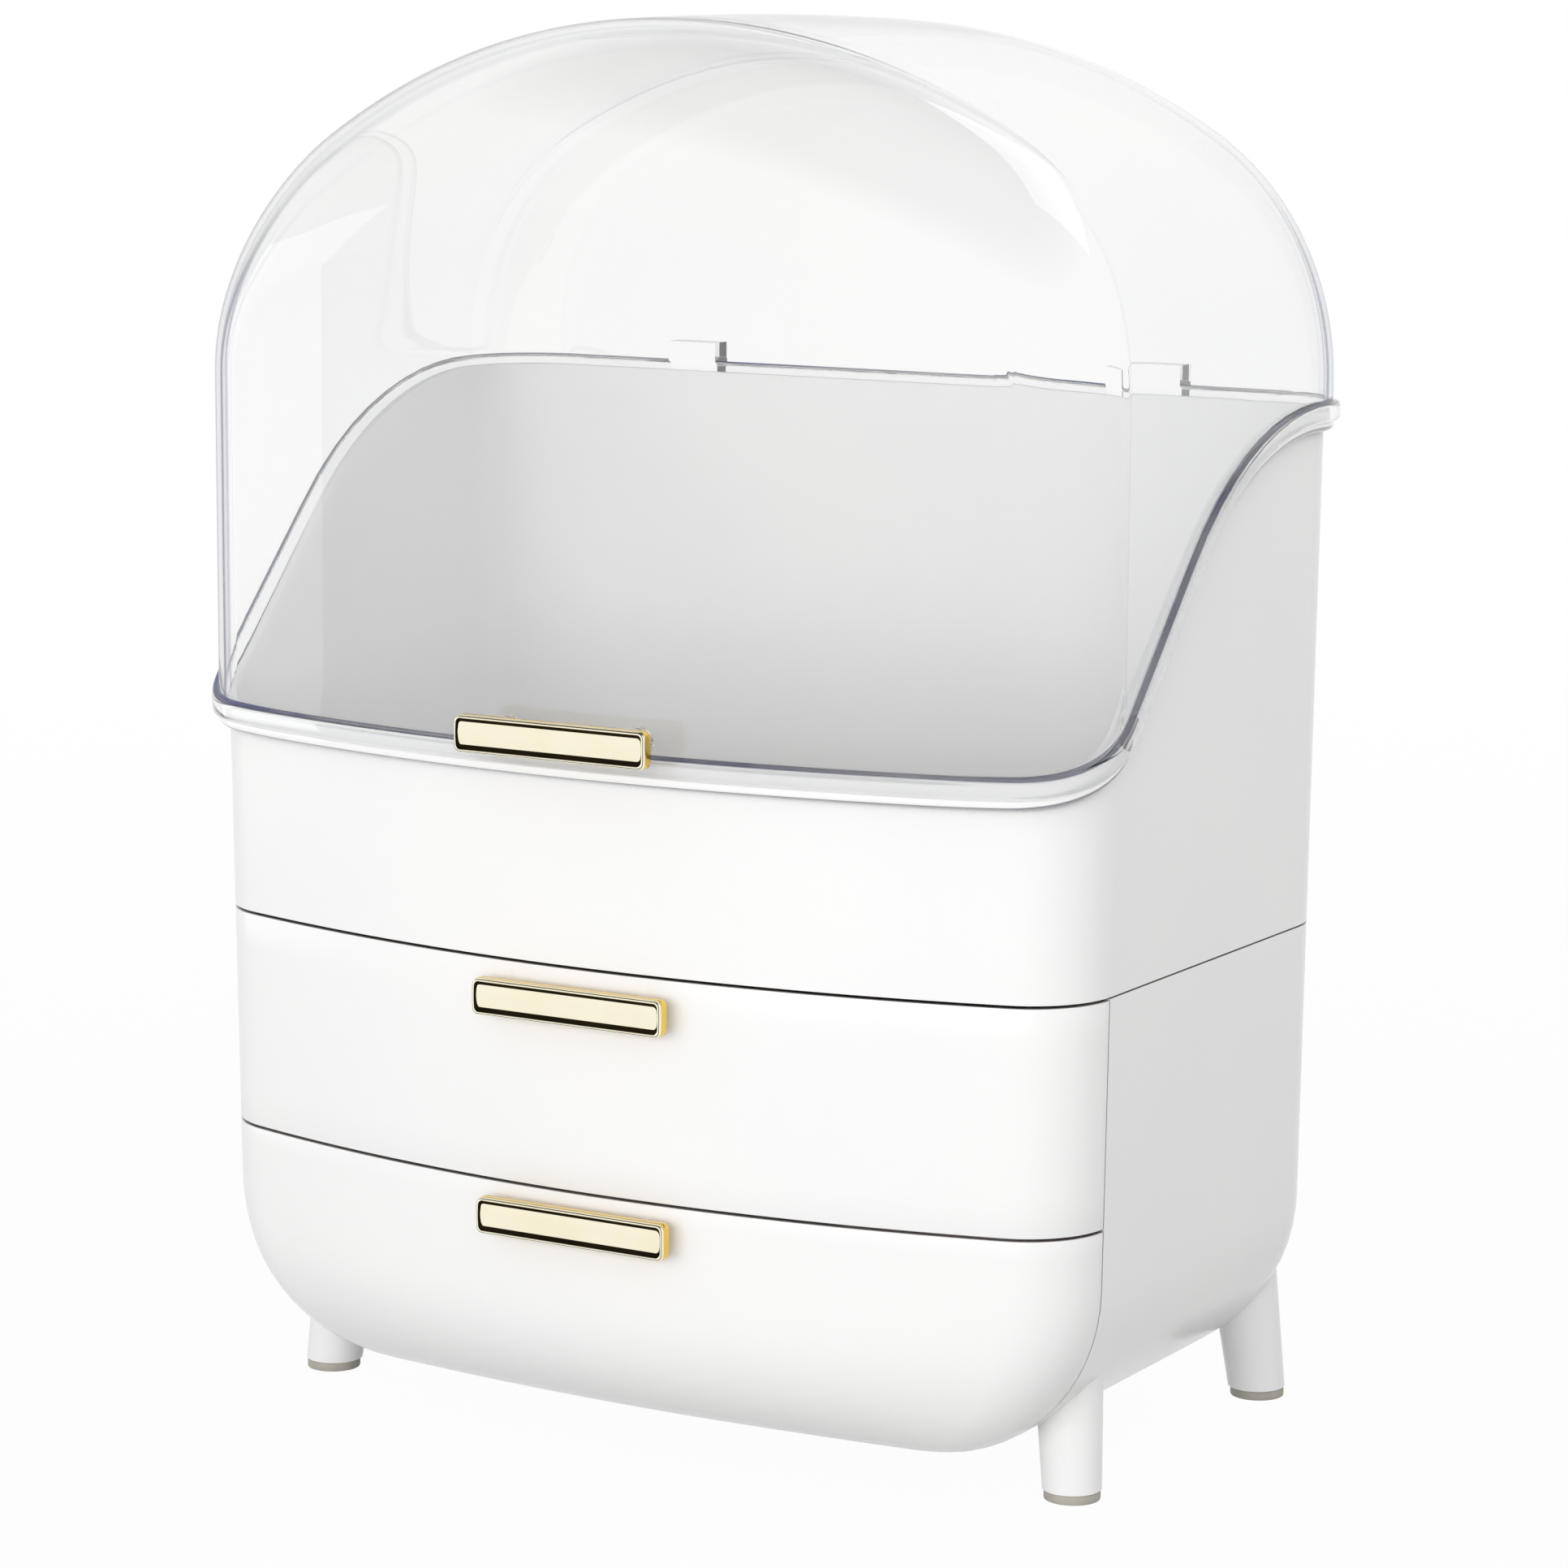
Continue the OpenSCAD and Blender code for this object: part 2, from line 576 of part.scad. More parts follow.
module front_left_pad() foot_pad(foot_points[0]);
module front_right_pad() foot_pad(foot_points[1]);
module rear_left_pad() foot_pad(foot_points[2]);
module rear_right_pad() foot_pad(foot_points[3]);

// Lid
lug_r = 4.2;
arm_t = 4;
module lid_shell() {
  color(clear) difference() {
    union() {
      difference() {
        union() {
          intersection() {
            hood(0, hood_low_z);
            above_rim(0);
          }
          // thick rim, in two steps
          rim_slab(lid_bead_out, 0.5, lid_bead_h - 0.5);
          rim_slab(lid_bead_out - 0.7, 0, lid_bead_h);
          for (s = [-1, 1]) hinge_lug(s * hinge_x);
        }
        hood(lid_t, hood_low_z - 2);
      }
      for (x = post_xs) rod_y(x, lid_seat, lid_handle_z, boss_d, lid_screw_seat - lid_seat);
    }
    for (x = post_xs) rod_y(x, lid_seat - 1, lid_handle_z, screw_clear_d, 30);
    for (s = [-1, 1])
      rod_x(s * hinge_x - lug_w, hinge_y, hinge_z, pin_d + 2 * pin_clear, 2 * lug_w);
  }
}
module rim_slab(out, h_low, h_high) {
  intersection() {
    translate([0, 0, hood_low_z])
      linear_extrude(rim_back_z - hood_low_z + lid_bead_h + 1) polygon(lid_plan(-out));
    rim_band(h_low, h_high);
  }
}
module hinge_lug(x) {
  arm_top_z = rim_back_z + lid_bead_h + 6;
  rod_x(x - lug_w / 2, hinge_y, hinge_z, 2 * lug_r, lug_w);
  translate([x - lug_w / 2, hinge_y - lug_r, hinge_z]) cube([lug_w, arm_t, arm_top_z - hinge_z]);
  translate([x - lug_w / 2, lid_back_y - lid_t / 2, rim_back_z + 1])
    cube([lug_w, hinge_y - lug_r + 1 - lid_back_y + lid_t / 2, arm_top_z - rim_back_z - 1]);
}
module lid_handle() {
  color(gold) handle_bar(lid_seat, lid_handle_z);
}
module lid_handle_screws() {
  color(steel) handle_screws(lid_screw_seat, lid_seat, lid_handle_z);
}

// Drawers
module drawer_seats(z, y_from, y_to) {
  for (x = post_xs) rod_y(x, y_from, z, boss_d, y_to - y_from);
}
module drawer_holes(z) {
  for (x = post_xs) rod_y(x, handle_seat(z) - 1, z, screw_clear_d, 30);
}
upper_low_z = drawer_seam_z + front_gap / 2;
upper_high_z = tray_seam_z - front_gap;
lower_high_z = drawer_seam_z - front_gap / 2;
upper_floor_z = drawer_seam_z + shelf_t / 2 + slide_gap;
upper_rim_z = tray_seam_z - upper_box_drop;
lower_rim_z = drawer_seam_z - lower_box_drop;

module upper_drawer_front() {
  color(white) difference() {
    union() {
      intersection() {
        difference() {
          body_slice(0, upper_low_z, upper_high_z);
          body_slice(front_t, upper_low_z - 1, upper_high_z + 1);
        }
        front_of(y_side - side_gap);
      }
      drawer_seats(upper_handle_z, handle_seat(upper_handle_z), box_seat(upper_handle_z));
    }
    drawer_holes(upper_handle_z);
  }
}
module upper_drawer_box() {
  color(white) difference() {
    union() {
      difference() {
        body_slice(box_inset, upper_floor_z, upper_rim_z);
        body_slice(box_inset + box_t, upper_floor_z + box_t, upper_rim_z + 1);
      }
      drawer_seats(upper_handle_z, box_seat(upper_handle_z), screw_seat(upper_handle_z));
    }
    drawer_holes(upper_handle_z);
  }
}
module upper_drawer_handle() {
  color(gold) handle_bar(handle_seat(upper_handle_z), upper_handle_z);
}
module upper_drawer_screws() {
  color(steel) handle_screws(screw_seat(upper_handle_z), handle_seat(upper_handle_z), upper_handle_z);
}
module lower_drawer_front() {
  color(white) difference() {
    union() {
      intersection() {
        difference() {
          body_solid(0, lower_high_z);
          body_solid(front_t, lower_high_z + 1);
        }
        front_of(y_side - side_gap);
      }
      drawer_seats(lower_handle_z, handle_seat(lower_handle_z), box_seat(lower_handle_z));
    }
    drawer_holes(lower_handle_z);
  }
}
module lower_drawer_box() {
  color(white) difference() {
    union() {
      difference() {
        body_solid(box_inset, lower_rim_z);
        body_solid(box_inset + box_t, lower_rim_z + 1);
      }
      drawer_seats(lower_handle_z, box_seat(lower_handle_z), screw_seat(lower_handle_z));
    }
    drawer_holes(lower_handle_z);
  }
}
module lower_drawer_handle() {
  color(gold) handle_bar(handle_seat(lower_handle_z), lower_handle_z);
}
module lower_drawer_screws() {
  color(steel) handle_screws(screw_seat(lower_handle_z), handle_seat(lower_handle_z), lower_handle_z);
}

cabinet_shell();
middle_shelf();
upper_tray();
tray_screws();
front_left_leg();
front_right_leg();
rear_left_leg();
rear_right_leg();
front_left_pad();
front_right_pad();
rear_left_pad();
rear_right_pad();
hinge_pins();
lid_shell();
lid_handle();
lid_handle_screws();
upper_drawer_front();
upper_drawer_box();
upper_drawer_handle();
upper_drawer_screws();
lower_drawer_front();
lower_drawer_box();
lower_drawer_handle();
lower_drawer_screws();
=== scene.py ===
import math

import bmesh
import bpy
import numpy as np
from mathutils import Matrix, Vector


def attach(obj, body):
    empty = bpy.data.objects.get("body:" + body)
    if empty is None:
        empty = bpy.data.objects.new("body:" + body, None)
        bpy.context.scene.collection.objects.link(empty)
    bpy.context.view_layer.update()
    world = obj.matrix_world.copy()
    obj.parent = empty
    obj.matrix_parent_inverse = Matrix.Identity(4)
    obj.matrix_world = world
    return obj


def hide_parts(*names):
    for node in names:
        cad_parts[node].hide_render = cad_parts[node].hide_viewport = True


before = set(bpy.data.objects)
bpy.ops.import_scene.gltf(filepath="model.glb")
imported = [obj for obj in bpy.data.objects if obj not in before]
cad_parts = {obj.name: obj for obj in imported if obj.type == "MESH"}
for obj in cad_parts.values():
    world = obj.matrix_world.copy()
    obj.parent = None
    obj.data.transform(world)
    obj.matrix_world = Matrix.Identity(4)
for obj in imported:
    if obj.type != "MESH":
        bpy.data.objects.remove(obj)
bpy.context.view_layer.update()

# ----------------------------------------
# Sizes in millimetres, the same as the part's own named values
# ----------------------------------------
BODY_W, BODY_D, BOW, FRONT_R, BACK_R = 270.0, 175.0, 40.0, 24.0, 21.0
BOTTOM_Z, SIDE_R, UNDER_R, WALL = 11.5, 50.0, 35.0, 2.5
SIDE_DRAFT, FRONT_DRAFT = 1.2, 2.5
DRAWER_SEAM, TRAY_SEAM, FRONT_GAP, SIDE_GAP = 77.5, 138.5, 0.9, 0.5
RIM_FRONT, RIM_BACK, RISE_START, LOW_R, HIGH_R, LEVEL_BACK = 191.2, 276.4, 8.0, 49.0, 99.0, 24.0
BEAD_H, BEAD_OUT, LIP_H, FLOOR_T = 2.7, 4.4, 3.0, 5.0
LID_T, LID_OUT, LID_OUT_BACK, LID_TOP, CROWN = 2.0, 4.0, 3.0, 381.0, 2.7
ARCH_RISE, ARCH_R, EDGE_R, EDGE_ROOF_R, REAR_R, REAR_ROOF_R = 94.5, 77.0, 19.0, 46.0, 24.0, 20.0
FLANGE_H, FLANGE_OUT = 5.0, 2.0
HINGE_X, HINGE_Z, HINGE_BACK, PIN_D, PIN_CLEAR = 75.0, 270.0, 10.0, 4.0, 0.05
LUG_W, CHEEK_T, LUG_GAP, CHEEK_R, LUG_R, ARM_T = 16.0, 6.0, 0.4, 4.6, 4.2, 4.0
HANDLE_W, HANDLE_H, HANDLE_T, POST_L, POST_SPAN, POST_D = 58.6, 9.9, 4.0, 2.6, 40.0, 6.0
LID_HANDLE_Z, UPPER_HANDLE_Z, LOWER_HANDLE_Z, LID_PAD = 199.7, 128.8, 69.3, 4.0
FRONT_T, BOX_IN, BOX_T, BOX_DROP, SHELF_T, RUN = 3.0, 4.5, 2.0, 4.0, 2.5, 0.3
FOOT_X, FOOT_FRONT, FOOT_BACK, SPLAY = 119.0, 54.5, 7.0, 5.5
LEG_D, LEG_TAPER, PAD_D, PAD_H = 15.6, 8.0, 15.0, 2.6
BOSS_D, HOLE_D, SEAT_LIFT = 8.0, 3.4, 0.3

REACH = LID_OUT + LID_PAD + POST_L + HANDLE_T
TOTAL_D = REACH + BODY_D + HINGE_BACK + CHEEK_R
Y_FRONT = -TOTAL_D / 2 + REACH
Y_SIDE = Y_FRONT + BOW
Y_BACK = Y_FRONT + BODY_D
HALF_W = BODY_W / 2
HINGE_Y = Y_BACK + HINGE_BACK
CORNER_X = HALF_W - FRONT_R
BOW_R = (CORNER_X ** 2 + BOW ** 2 - FRONT_R ** 2) / (2 * (BOW - FRONT_R))
BOW_END = math.atan2(CORNER_X, BOW_R - BOW)
BACK_ROUND_Y = Y_BACK - 45.0
POSTS = (-POST_SPAN / 2, POST_SPAN / 2)


# ----------------------------------------
# Shape of the body: its plan, and how far each wall stands in at a height
# ----------------------------------------
def bow_y(x):
    return Y_FRONT + BOW_R - np.sqrt(BOW_R ** 2 - np.square(x))


def round_in(z, r, e):
    drop = BOTTOM_Z + r - z
    return e if drop <= 0 else e + (r - e) - math.sqrt(max(0.0, (r - e) ** 2 - drop ** 2))


def side_in(z, e):
    return round_in(z, SIDE_R, e) - SIDE_DRAFT * (z - TRAY_SEAM) / 100


def front_in(z, e):
    return round_in(z, UNDER_R, e) - FRONT_DRAFT * (z - TRAY_SEAM) / 100


def scales(z, e):
    return (1 - side_in(z, e) / HALF_W, 1 - front_in(z, e) / BOW,
            1 - round_in(z, UNDER_R, e) / (Y_BACK - BACK_ROUND_Y))


def place(plan, z, e):
    """Plan points moved in by e at height z."""
    kx, kf, kb = scales(z, e)
    x, y = plan[:, 0] * kx, plan[:, 1].copy()
    front, back = plan[:, 1] < Y_SIDE, plan[:, 1] > BACK_ROUND_Y
    y[front] = Y_SIDE + (y[front] - Y_SIDE) * kf
    y[back] = BACK_ROUND_Y + (y[back] - BACK_ROUND_Y) * kb
    return np.column_stack([x, y, np.full(len(x), z)])


def front_plan(end, bow_n=44, corner_n=12):
    """From the left seam round the bow to the right seam; the corner arcs stop at angle end."""
    t = np.linspace(BOW_END, end, corner_n + 1)[1:]
    right = np.column_stack([CORNER_X + FRONT_R * np.sin(t), Y_SIDE - FRONT_R * np.cos(t)])
    t = np.linspace(-BOW_END, BOW_END, bow_n + 1)
    bow = np.column_stack([BOW_R * np.sin(t), Y_FRONT + BOW_R - BOW_R * np.cos(t)])
    left = (right * [-1, 1])[::-1]
    return np.vstack([left, bow, right])


def back_plan(side_n=36, corner_n=12, back_n=24):
    """From the right seam round the back to the left seam."""
    y = np.linspace(Y_SIDE, Y_BACK - BACK_R, side_n + 1)
    side = np.column_stack([np.full(len(y), HALF_W), y])
    t = np.linspace(0, math.pi / 2, corner_n + 1)[1:]
    corner = np.column_stack([HALF_W - BACK_R + BACK_R * np.cos(t), Y_BACK - BACK_R + BACK_R * np.sin(t)])
    right = np.vstack([side, corner])
    x = np.linspace(HALF_W - BACK_R, BACK_R - HALF_W, back_n + 1)[1:-1]
    back = np.column_stack([x, np.full(len(x), Y_BACK)])
    return np.vstack([right, back, (right * [-1, 1])[::-1]])


def whole_plan():
    return np.vstack([front_plan(math.pi / 2), back_plan(side_n=70)[1:-1]])


def front_ring(z, e, cut):
    kf = scales(z, e)[1]
    return place(front_plan(math.acos(min(1.0, cut / (FRONT_R * kf)))), z, e)


def round_heights(e, z_top, n=16, extra=3):
    t = np.linspace(0, math.pi / 2, n + 1)
    z = list(BOTTOM_Z + e + (SIDE_R - e) * (1 - np.cos(t)))
    return z + list(np.linspace(z[-1], z_top, extra + 1)[1:])


# ----------------------------------------
# Rim line of the tray and lid, seen from the side
# ----------------------------------------
RISE_Y = Y_FRONT + RISE_START
LEVEL_Y = Y_BACK - LEVEL_BACK
ARCS = LOW_R + HIGH_R
RUN_Y, RISE_H = LEVEL_Y - RISE_Y, RIM_BACK - RIM_FRONT
SLOPE = math.asin(min(1.0, ARCS / math.hypot(RUN_Y, ARCS - RISE_H))) - math.atan2(ARCS - RISE_H, RUN_Y)


def rim_z(y, h):
    y = np.atleast_1d(np.asarray(y, float))
    ya, yb = RISE_Y + (LOW_R - h) * math.sin(SLOPE), LEVEL_Y - (HIGH_R + h) * math.sin(SLOPE)
    za = RIM_FRONT + LOW_R - (LOW_R - h) * math.cos(SLOPE)
    zb = RIM_BACK - HIGH_R + (HIGH_R + h) * math.cos(SLOPE)
    low = RIM_FRONT + LOW_R - np.sqrt(np.maximum(0, (LOW_R - h) ** 2 - np.square(y - RISE_Y)))
    high = RIM_BACK - HIGH_R + np.sqrt(np.maximum(0, (HIGH_R + h) ** 2 - np.square(LEVEL_Y - y)))
    z = np.where(y < RISE_Y, RIM_FRONT + h, np.where(y < ya, low, za + (zb - za) * (y - ya) / (yb - ya)))
    return np.where(y > LEVEL_Y, RIM_BACK + h, np.where(y > yb, high, z))


def place_each(plan, z, e):
    """Plan points moved in by e, each at its own height."""
    return np.array([place(plan[i:i + 1], z[i], e)[0] for i in range(len(plan))])


def wall_points(plan, e, h):
    """Points of the wall, moved in by e, on the rim line moved up by h."""
    z = np.full(len(plan), 200.0)  # a first guess, bettered four times
    for _ in range(4):
        z = rim_z(place_each(plan, z, e)[:, 1], h)
    return place_each(plan, z, e)


# ----------------------------------------
# Meshes: patches are laid side by side, then welded into closed shells
# ----------------------------------------
def weld(bm):
    """Joins corners that fall together and drops faces and edges without extent."""
    bmesh.ops.remove_doubles(bm, verts=bm.verts, dist=2e-6)
    bmesh.ops.dissolve_degenerate(bm, dist=1e-6, edges=bm.edges)


class Patches:
    def __init__(self):
        self.points, self.faces, self.slots = [], [], []

    def add(self, points):
        start = len(self.points)
        self.points.extend([tuple(map(float, p)) for p in points])
        return start

    def grid(self, rows, closed=False, slot=0):
        """A sheet through rows of points that all have the same length."""
        n = len(rows[0])
        starts = [self.add(r) for r in rows]
        for a, b in zip(starts, starts[1:]):
            for j in range(n if closed else n - 1):
                k = (j + 1) % n
                self.faces.append((a + j, a + k, b + k, b + j))
                self.slots.append(slot)

    def face(self, points, slot=0):
        start = self.add(points)
        self.faces.append(tuple(range(start, start + len(points))))
        self.slots.append(slot)

    def fan(self, ring, apex, closed=False):
        """Triangles from a row of points to one point."""
        n, top, start = len(ring), self.add([apex]), self.add(ring)
        for i in range(n if closed else n - 1):
            self.faces.append((start + i, start + (i + 1) % n, top))
            self.slots.append(0)

    def fan_strip(self, points, slot=0):
        """A flat, mirror-even outline filled with cross strips: point i faces point -1-i."""
        start, n = self.add(points), len(points)
        for i in range(n // 2 - 1):
            middle = (start + n // 2,) if n % 2 and i == n // 2 - 2 else ()
            self.faces.append((start + i, start + i + 1) + middle + (start + n - 2 - i, start + n - 1 - i))
            self.slots.append(slot)

    def bmesh(self):
        bm = bmesh.new()
        verts = [bm.verts.new(Vector(p) * 0.001) for p in self.points]
        for f, s in zip(self.faces, self.slots):
            corners = [verts[i] for i in f]
            if len(set(corners)) > 2:
                face = bm.faces.new(corners)
                face.material_index = s
        weld(bm)
        loose = [v for v in bm.verts if not v.link_faces]
        bmesh.ops.delete(bm, geom=loose, context="VERTS")
        bmesh.ops.recalc_face_normals(bm, faces=bm.faces)
        return bm


def new_object(name, bm, materials=()):
    mesh = bpy.data.meshes.new(name)
    for m in materials:
        mesh.materials.append(m)
    bm.to_mesh(mesh)
    bm.free()
    obj = bpy.data.objects.new(name, mesh)
    bpy.context.scene.collection.objects.link(obj)
    return obj


def bake(obj):
    """Gives the piece the mesh that its modifiers make."""
    depsgraph = bpy.context.evaluated_depsgraph_get()
    mesh = bpy.data.meshes.new_from_object(obj.evaluated_get(depsgraph))
    obj.modifiers.clear()
    obj.data = mesh
    return mesh


def finish_piece(obj, body, nodes, materials, bevel=0.0, angle=32):
    """Rounds the sharp edges, smooths the rest, gives the finish and hangs the piece on its body."""
    mesh = obj.data
    if bevel:
        mod = obj.modifiers.new("edges", "BEVEL")
        mod.width, mod.segments = bevel * 0.001, 2
        mod.limit_method, mod.angle_limit = "ANGLE", math.radians(angle)
        mod.use_clamp_overlap = True
        mesh = bake(obj)
        mesh.name = obj.name
        bm = bmesh.new()
        bm.from_mesh(mesh)
        weld(bm)
        bm.to_mesh(mesh)
        bm.free()
    picks = np.zeros(len(mesh.polygons), np.int32)
    mesh.polygons.foreach_get("material_index", picks)
    mesh.materials.clear()
    for m in materials:
        mesh.materials.append(m)
    mesh.polygons.foreach_set("material_index", np.minimum(picks, len(materials) - 1))
    mesh.shade_smooth()
    mesh.set_sharp_from_angle(angle=math.radians(angle))
    if nodes:
        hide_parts(*nodes)
    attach(obj, body)
    return obj


def rod(patches, axis, start, d, length, n=40, edge=0.0, slot=0):
    """Closed round bar from start along +X, +Y or +Z."""
    t = np.linspace(0, 2 * math.pi, n, endpoint=False)
    a, b = {"x": (1, 2), "y": (0, 2), "z": (0, 1)}[axis]
    c = "xyz".index(axis)

    def loop(r, along):
        p = np.tile(np.asarray(start, float), (n, 1))
        p[:, a] += r * np.cos(t)
        p[:, b] += r * np.sin(t)
        p[:, c] += along
        return p
    r, bit = d / 2, 0.3 * edge
    rows = [loop(r, 0), loop(r, length)]
    if edge:
        rows = [loop(r - edge, 0), loop(r - bit, bit), loop(r, edge),
                loop(r, length - edge), loop(r - bit, length - bit), loop(r - edge, length)]
    patches.grid(rows, closed=True, slot=slot)
    patches.face(rows[0], slot)
    patches.face(rows[-1][::-1], slot)


def block(patches, low, high, slot=0):
    x0, y0, z0 = low
    x1, y1, z1 = high
    lower = [(x0, y0, z0), (x1, y0, z0), (x1, y1, z0), (x0, y1, z0)]
    upper = [(x, y, z1) for x, y, _ in lower]
    patches.grid([lower, upper], closed=True, slot=slot)
    patches.face(lower, slot)
    patches.face(upper[::-1], slot)


def combine(obj, patches, operation):
    """Joins a closed shell to the piece, or cuts it away."""
    tool = new_object("tool", patches.bmesh(), obj.data.materials[:])
    mod = obj.modifiers.new("shape", "BOOLEAN")
    mod.operation, mod.solver, mod.object = operation, "EXACT", tool
    bake(obj)
    bpy.data.objects.remove(tool)


def drill(obj, centres, y_from, y_to, d):
    """Cuts round holes along Y."""
    cutter = Patches()
    for x, z in centres:
        rod(cutter, "y", (x, y_from, z), d, y_to - y_from, n=32)
    combine(obj, cutter, "DIFFERENCE")


# ----------------------------------------
# Materials
# ----------------------------------------
def linear(srgb):
    return tuple(c / 12.92 if c <= 0.04045 else ((c + 0.055) / 1.055) ** 2.4 for c in srgb) + (1.0,)


class Nodes:
    """The emptied node tree of a material or of the world, with short ways to fill it."""
    def __init__(self, data, output="ShaderNodeOutputMaterial", coord="Object"):
        data.use_nodes = True
        self.data, self.tree = data, data.node_tree
        self.tree.nodes.clear()
        self.out = self.new(output)
        self.coord = self.new("ShaderNodeTexCoord").outputs[coord]

    def finish(self, surface):
        self.link(surface, self.out.inputs["Surface"])
        return self.data

    def new(self, kind, **values):
        node = self.tree.nodes.new(kind)
        for k, v in values.items():
            setattr(node, k, v)
        return node

    def link(self, a, b):
        self.tree.links.new(a, b)

    def noise(self, scale, detail=3.0, rough=0.5, stretch=None):
        node = self.new("ShaderNodeTexNoise")
        node.inputs["Scale"].default_value = scale
        node.inputs["Detail"].default_value = detail
        node.inputs["Roughness"].default_value = rough
        if stretch:
            mapping = self.new("ShaderNodeMapping")
            mapping.inputs["Scale"].default_value = stretch
            self.link(self.coord, mapping.inputs["Vector"])
            self.link(mapping.outputs["Vector"], node.inputs["Vector"])
        else:
            self.link(self.coord, node.inputs["Vector"])
        return node.outputs["Fac"]

    def spread(self, value, low, high, start=0.3, end=0.7):
        node = self.new("ShaderNodeMapRange")
        for key, v in (("From Min", start), ("From Max", end), ("To Min", low), ("To Max", high)):
            node.inputs[key].default_value = v
        self.link(value, node.inputs["Value"])
        return node.outputs["Result"]

    def blend(self, factor, a, b):
        node = self.new("ShaderNodeMix", data_type="RGBA")
        self.link(factor, node.inputs["Factor"])
        node.inputs["A"].default_value, node.inputs["B"].default_value = a, b
        return node.outputs["Result"]

    def bump(self, height, distance, base=None):
        node = self.new("ShaderNodeBump")
        node.inputs["Strength"].default_value = 1.0
        node.inputs["Distance"].default_value = distance
        self.link(height, node.inputs["Height"])
        if base:
            self.link(base, node.inputs["Normal"])
        return node.outputs["Normal"]

    def maths(self, operation, *values):
        node = self.new("ShaderNodeMath", operation=operation)
        for socket, value in zip(node.inputs, values):
            if isinstance(value, (int, float)):
                socket.default_value = value
            else:
                self.link(value, socket)
        return node.outputs[0]

    def either(self, a, b):
        return self.maths("MAXIMUM", a, b)

    def mix(self, share, first, second):
        node = self.new("ShaderNodeMixShader")
        for i, socket in enumerate((share, first, second)):
            self.link(socket, node.inputs[i])
        return node.outputs[0]

    def xyz(self, vector):
        node = self.new("ShaderNodeSeparateXYZ")
        self.link(vector, node.inputs[0])
        return node.outputs

    def normal_xyz(self):
        return self.xyz(self.new("ShaderNodeNewGeometry").outputs["Normal"])

    def ramp(self, value, shades):
        node = self.new("ShaderNodeValToRGB")
        stops = node.color_ramp.elements
        while len(stops) < len(shades):
            stops.new(0.5)
        for stop, (at, shade) in zip(stops, shades):
            stop.position, stop.color = at, tuple(shade) + (1.0,)
        self.link(value, node.inputs[0])
        return node.outputs["Color"]

    def shader(self, **values):
        node = self.new("ShaderNodeBsdfPrincipled")
        for key, v in values.items():
            node.inputs[key.replace("_", " ")].default_value = v
        return node


def plastic(name, colour_a, colour_b, rough=(0.17, 0.25), waviness=0.00006, grain=0.000003, nook_shade=None,
            openness=(0.1, 0.5), under=None, polish=0.0):
    """Moulded plastic: even colour, slight waviness, fine scuffs in the gloss. The nooks colour is painted
    shade in seams and grooves, laid on where ambient occlusion finds them closed; openness is the range of
    openness over which it fades. Under is painted shade on an edge that turns down, which starts higher on
    the side walls."""
    n = Nodes(bpy.data.materials.new(name))
    s = n.shader(IOR=1.49, Coat_Weight=polish, Coat_IOR=2.0)
    colour = n.blend(n.spread(n.noise(14, 4), 0, 1), linear(colour_a), linear(colour_b))
    # painted shade: seams, grooves and closed corners darken towards the nooks colour as ambient occlusion
    # closes them
    if nook_shade:
        hidden = n.new("ShaderNodeAmbientOcclusion", samples=4)
        hidden.inputs["Distance"].default_value = 0.006
        crevice_shaded = n.blend(n.spread(hidden.outputs["AO"], 0, 1, *openness), linear(nook_shade), (1, 1, 1, 1))
        n.link(colour, crevice_shaded.node.inputs["B"])
        colour = crevice_shaded
    # painted shade: faces turning down darken towards the under colour, and on the side walls this begins as
    # soon as they tilt down
    if under:
        normal = n.normal_xyz()
        side = n.maths("MULTIPLY", n.maths("ABSOLUTE", normal["X"]), 0.6)
        turned = n.spread(n.maths("SUBTRACT", side, normal["Z"]), 0, 1, 0.64, 0.76)
        darker = n.blend(turned, (1, 1, 1, 1), linear(under))
        n.link(colour, darker.node.inputs["A"])
        colour = darker
    n.link(colour, s.inputs["Base Color"])
    cloud, scuff = n.noise(22, 5, 0.6), n.noise(90, 2, 0.5, stretch=(1, 1, 5))
    mixed = n.maths("MULTIPLY_ADD", scuff, 0.35, cloud)
    n.link(n.spread(mixed, rough[0], rough[1], 0.45, 0.9), s.inputs["Roughness"])
    wave = n.bump(n.noise(9, 1, 0.4), waviness)
    n.link(n.bump(n.noise(2600, 2, 0.5), grain, base=wave), s.inputs["Normal"])
    return n.finish(s.outputs[0])


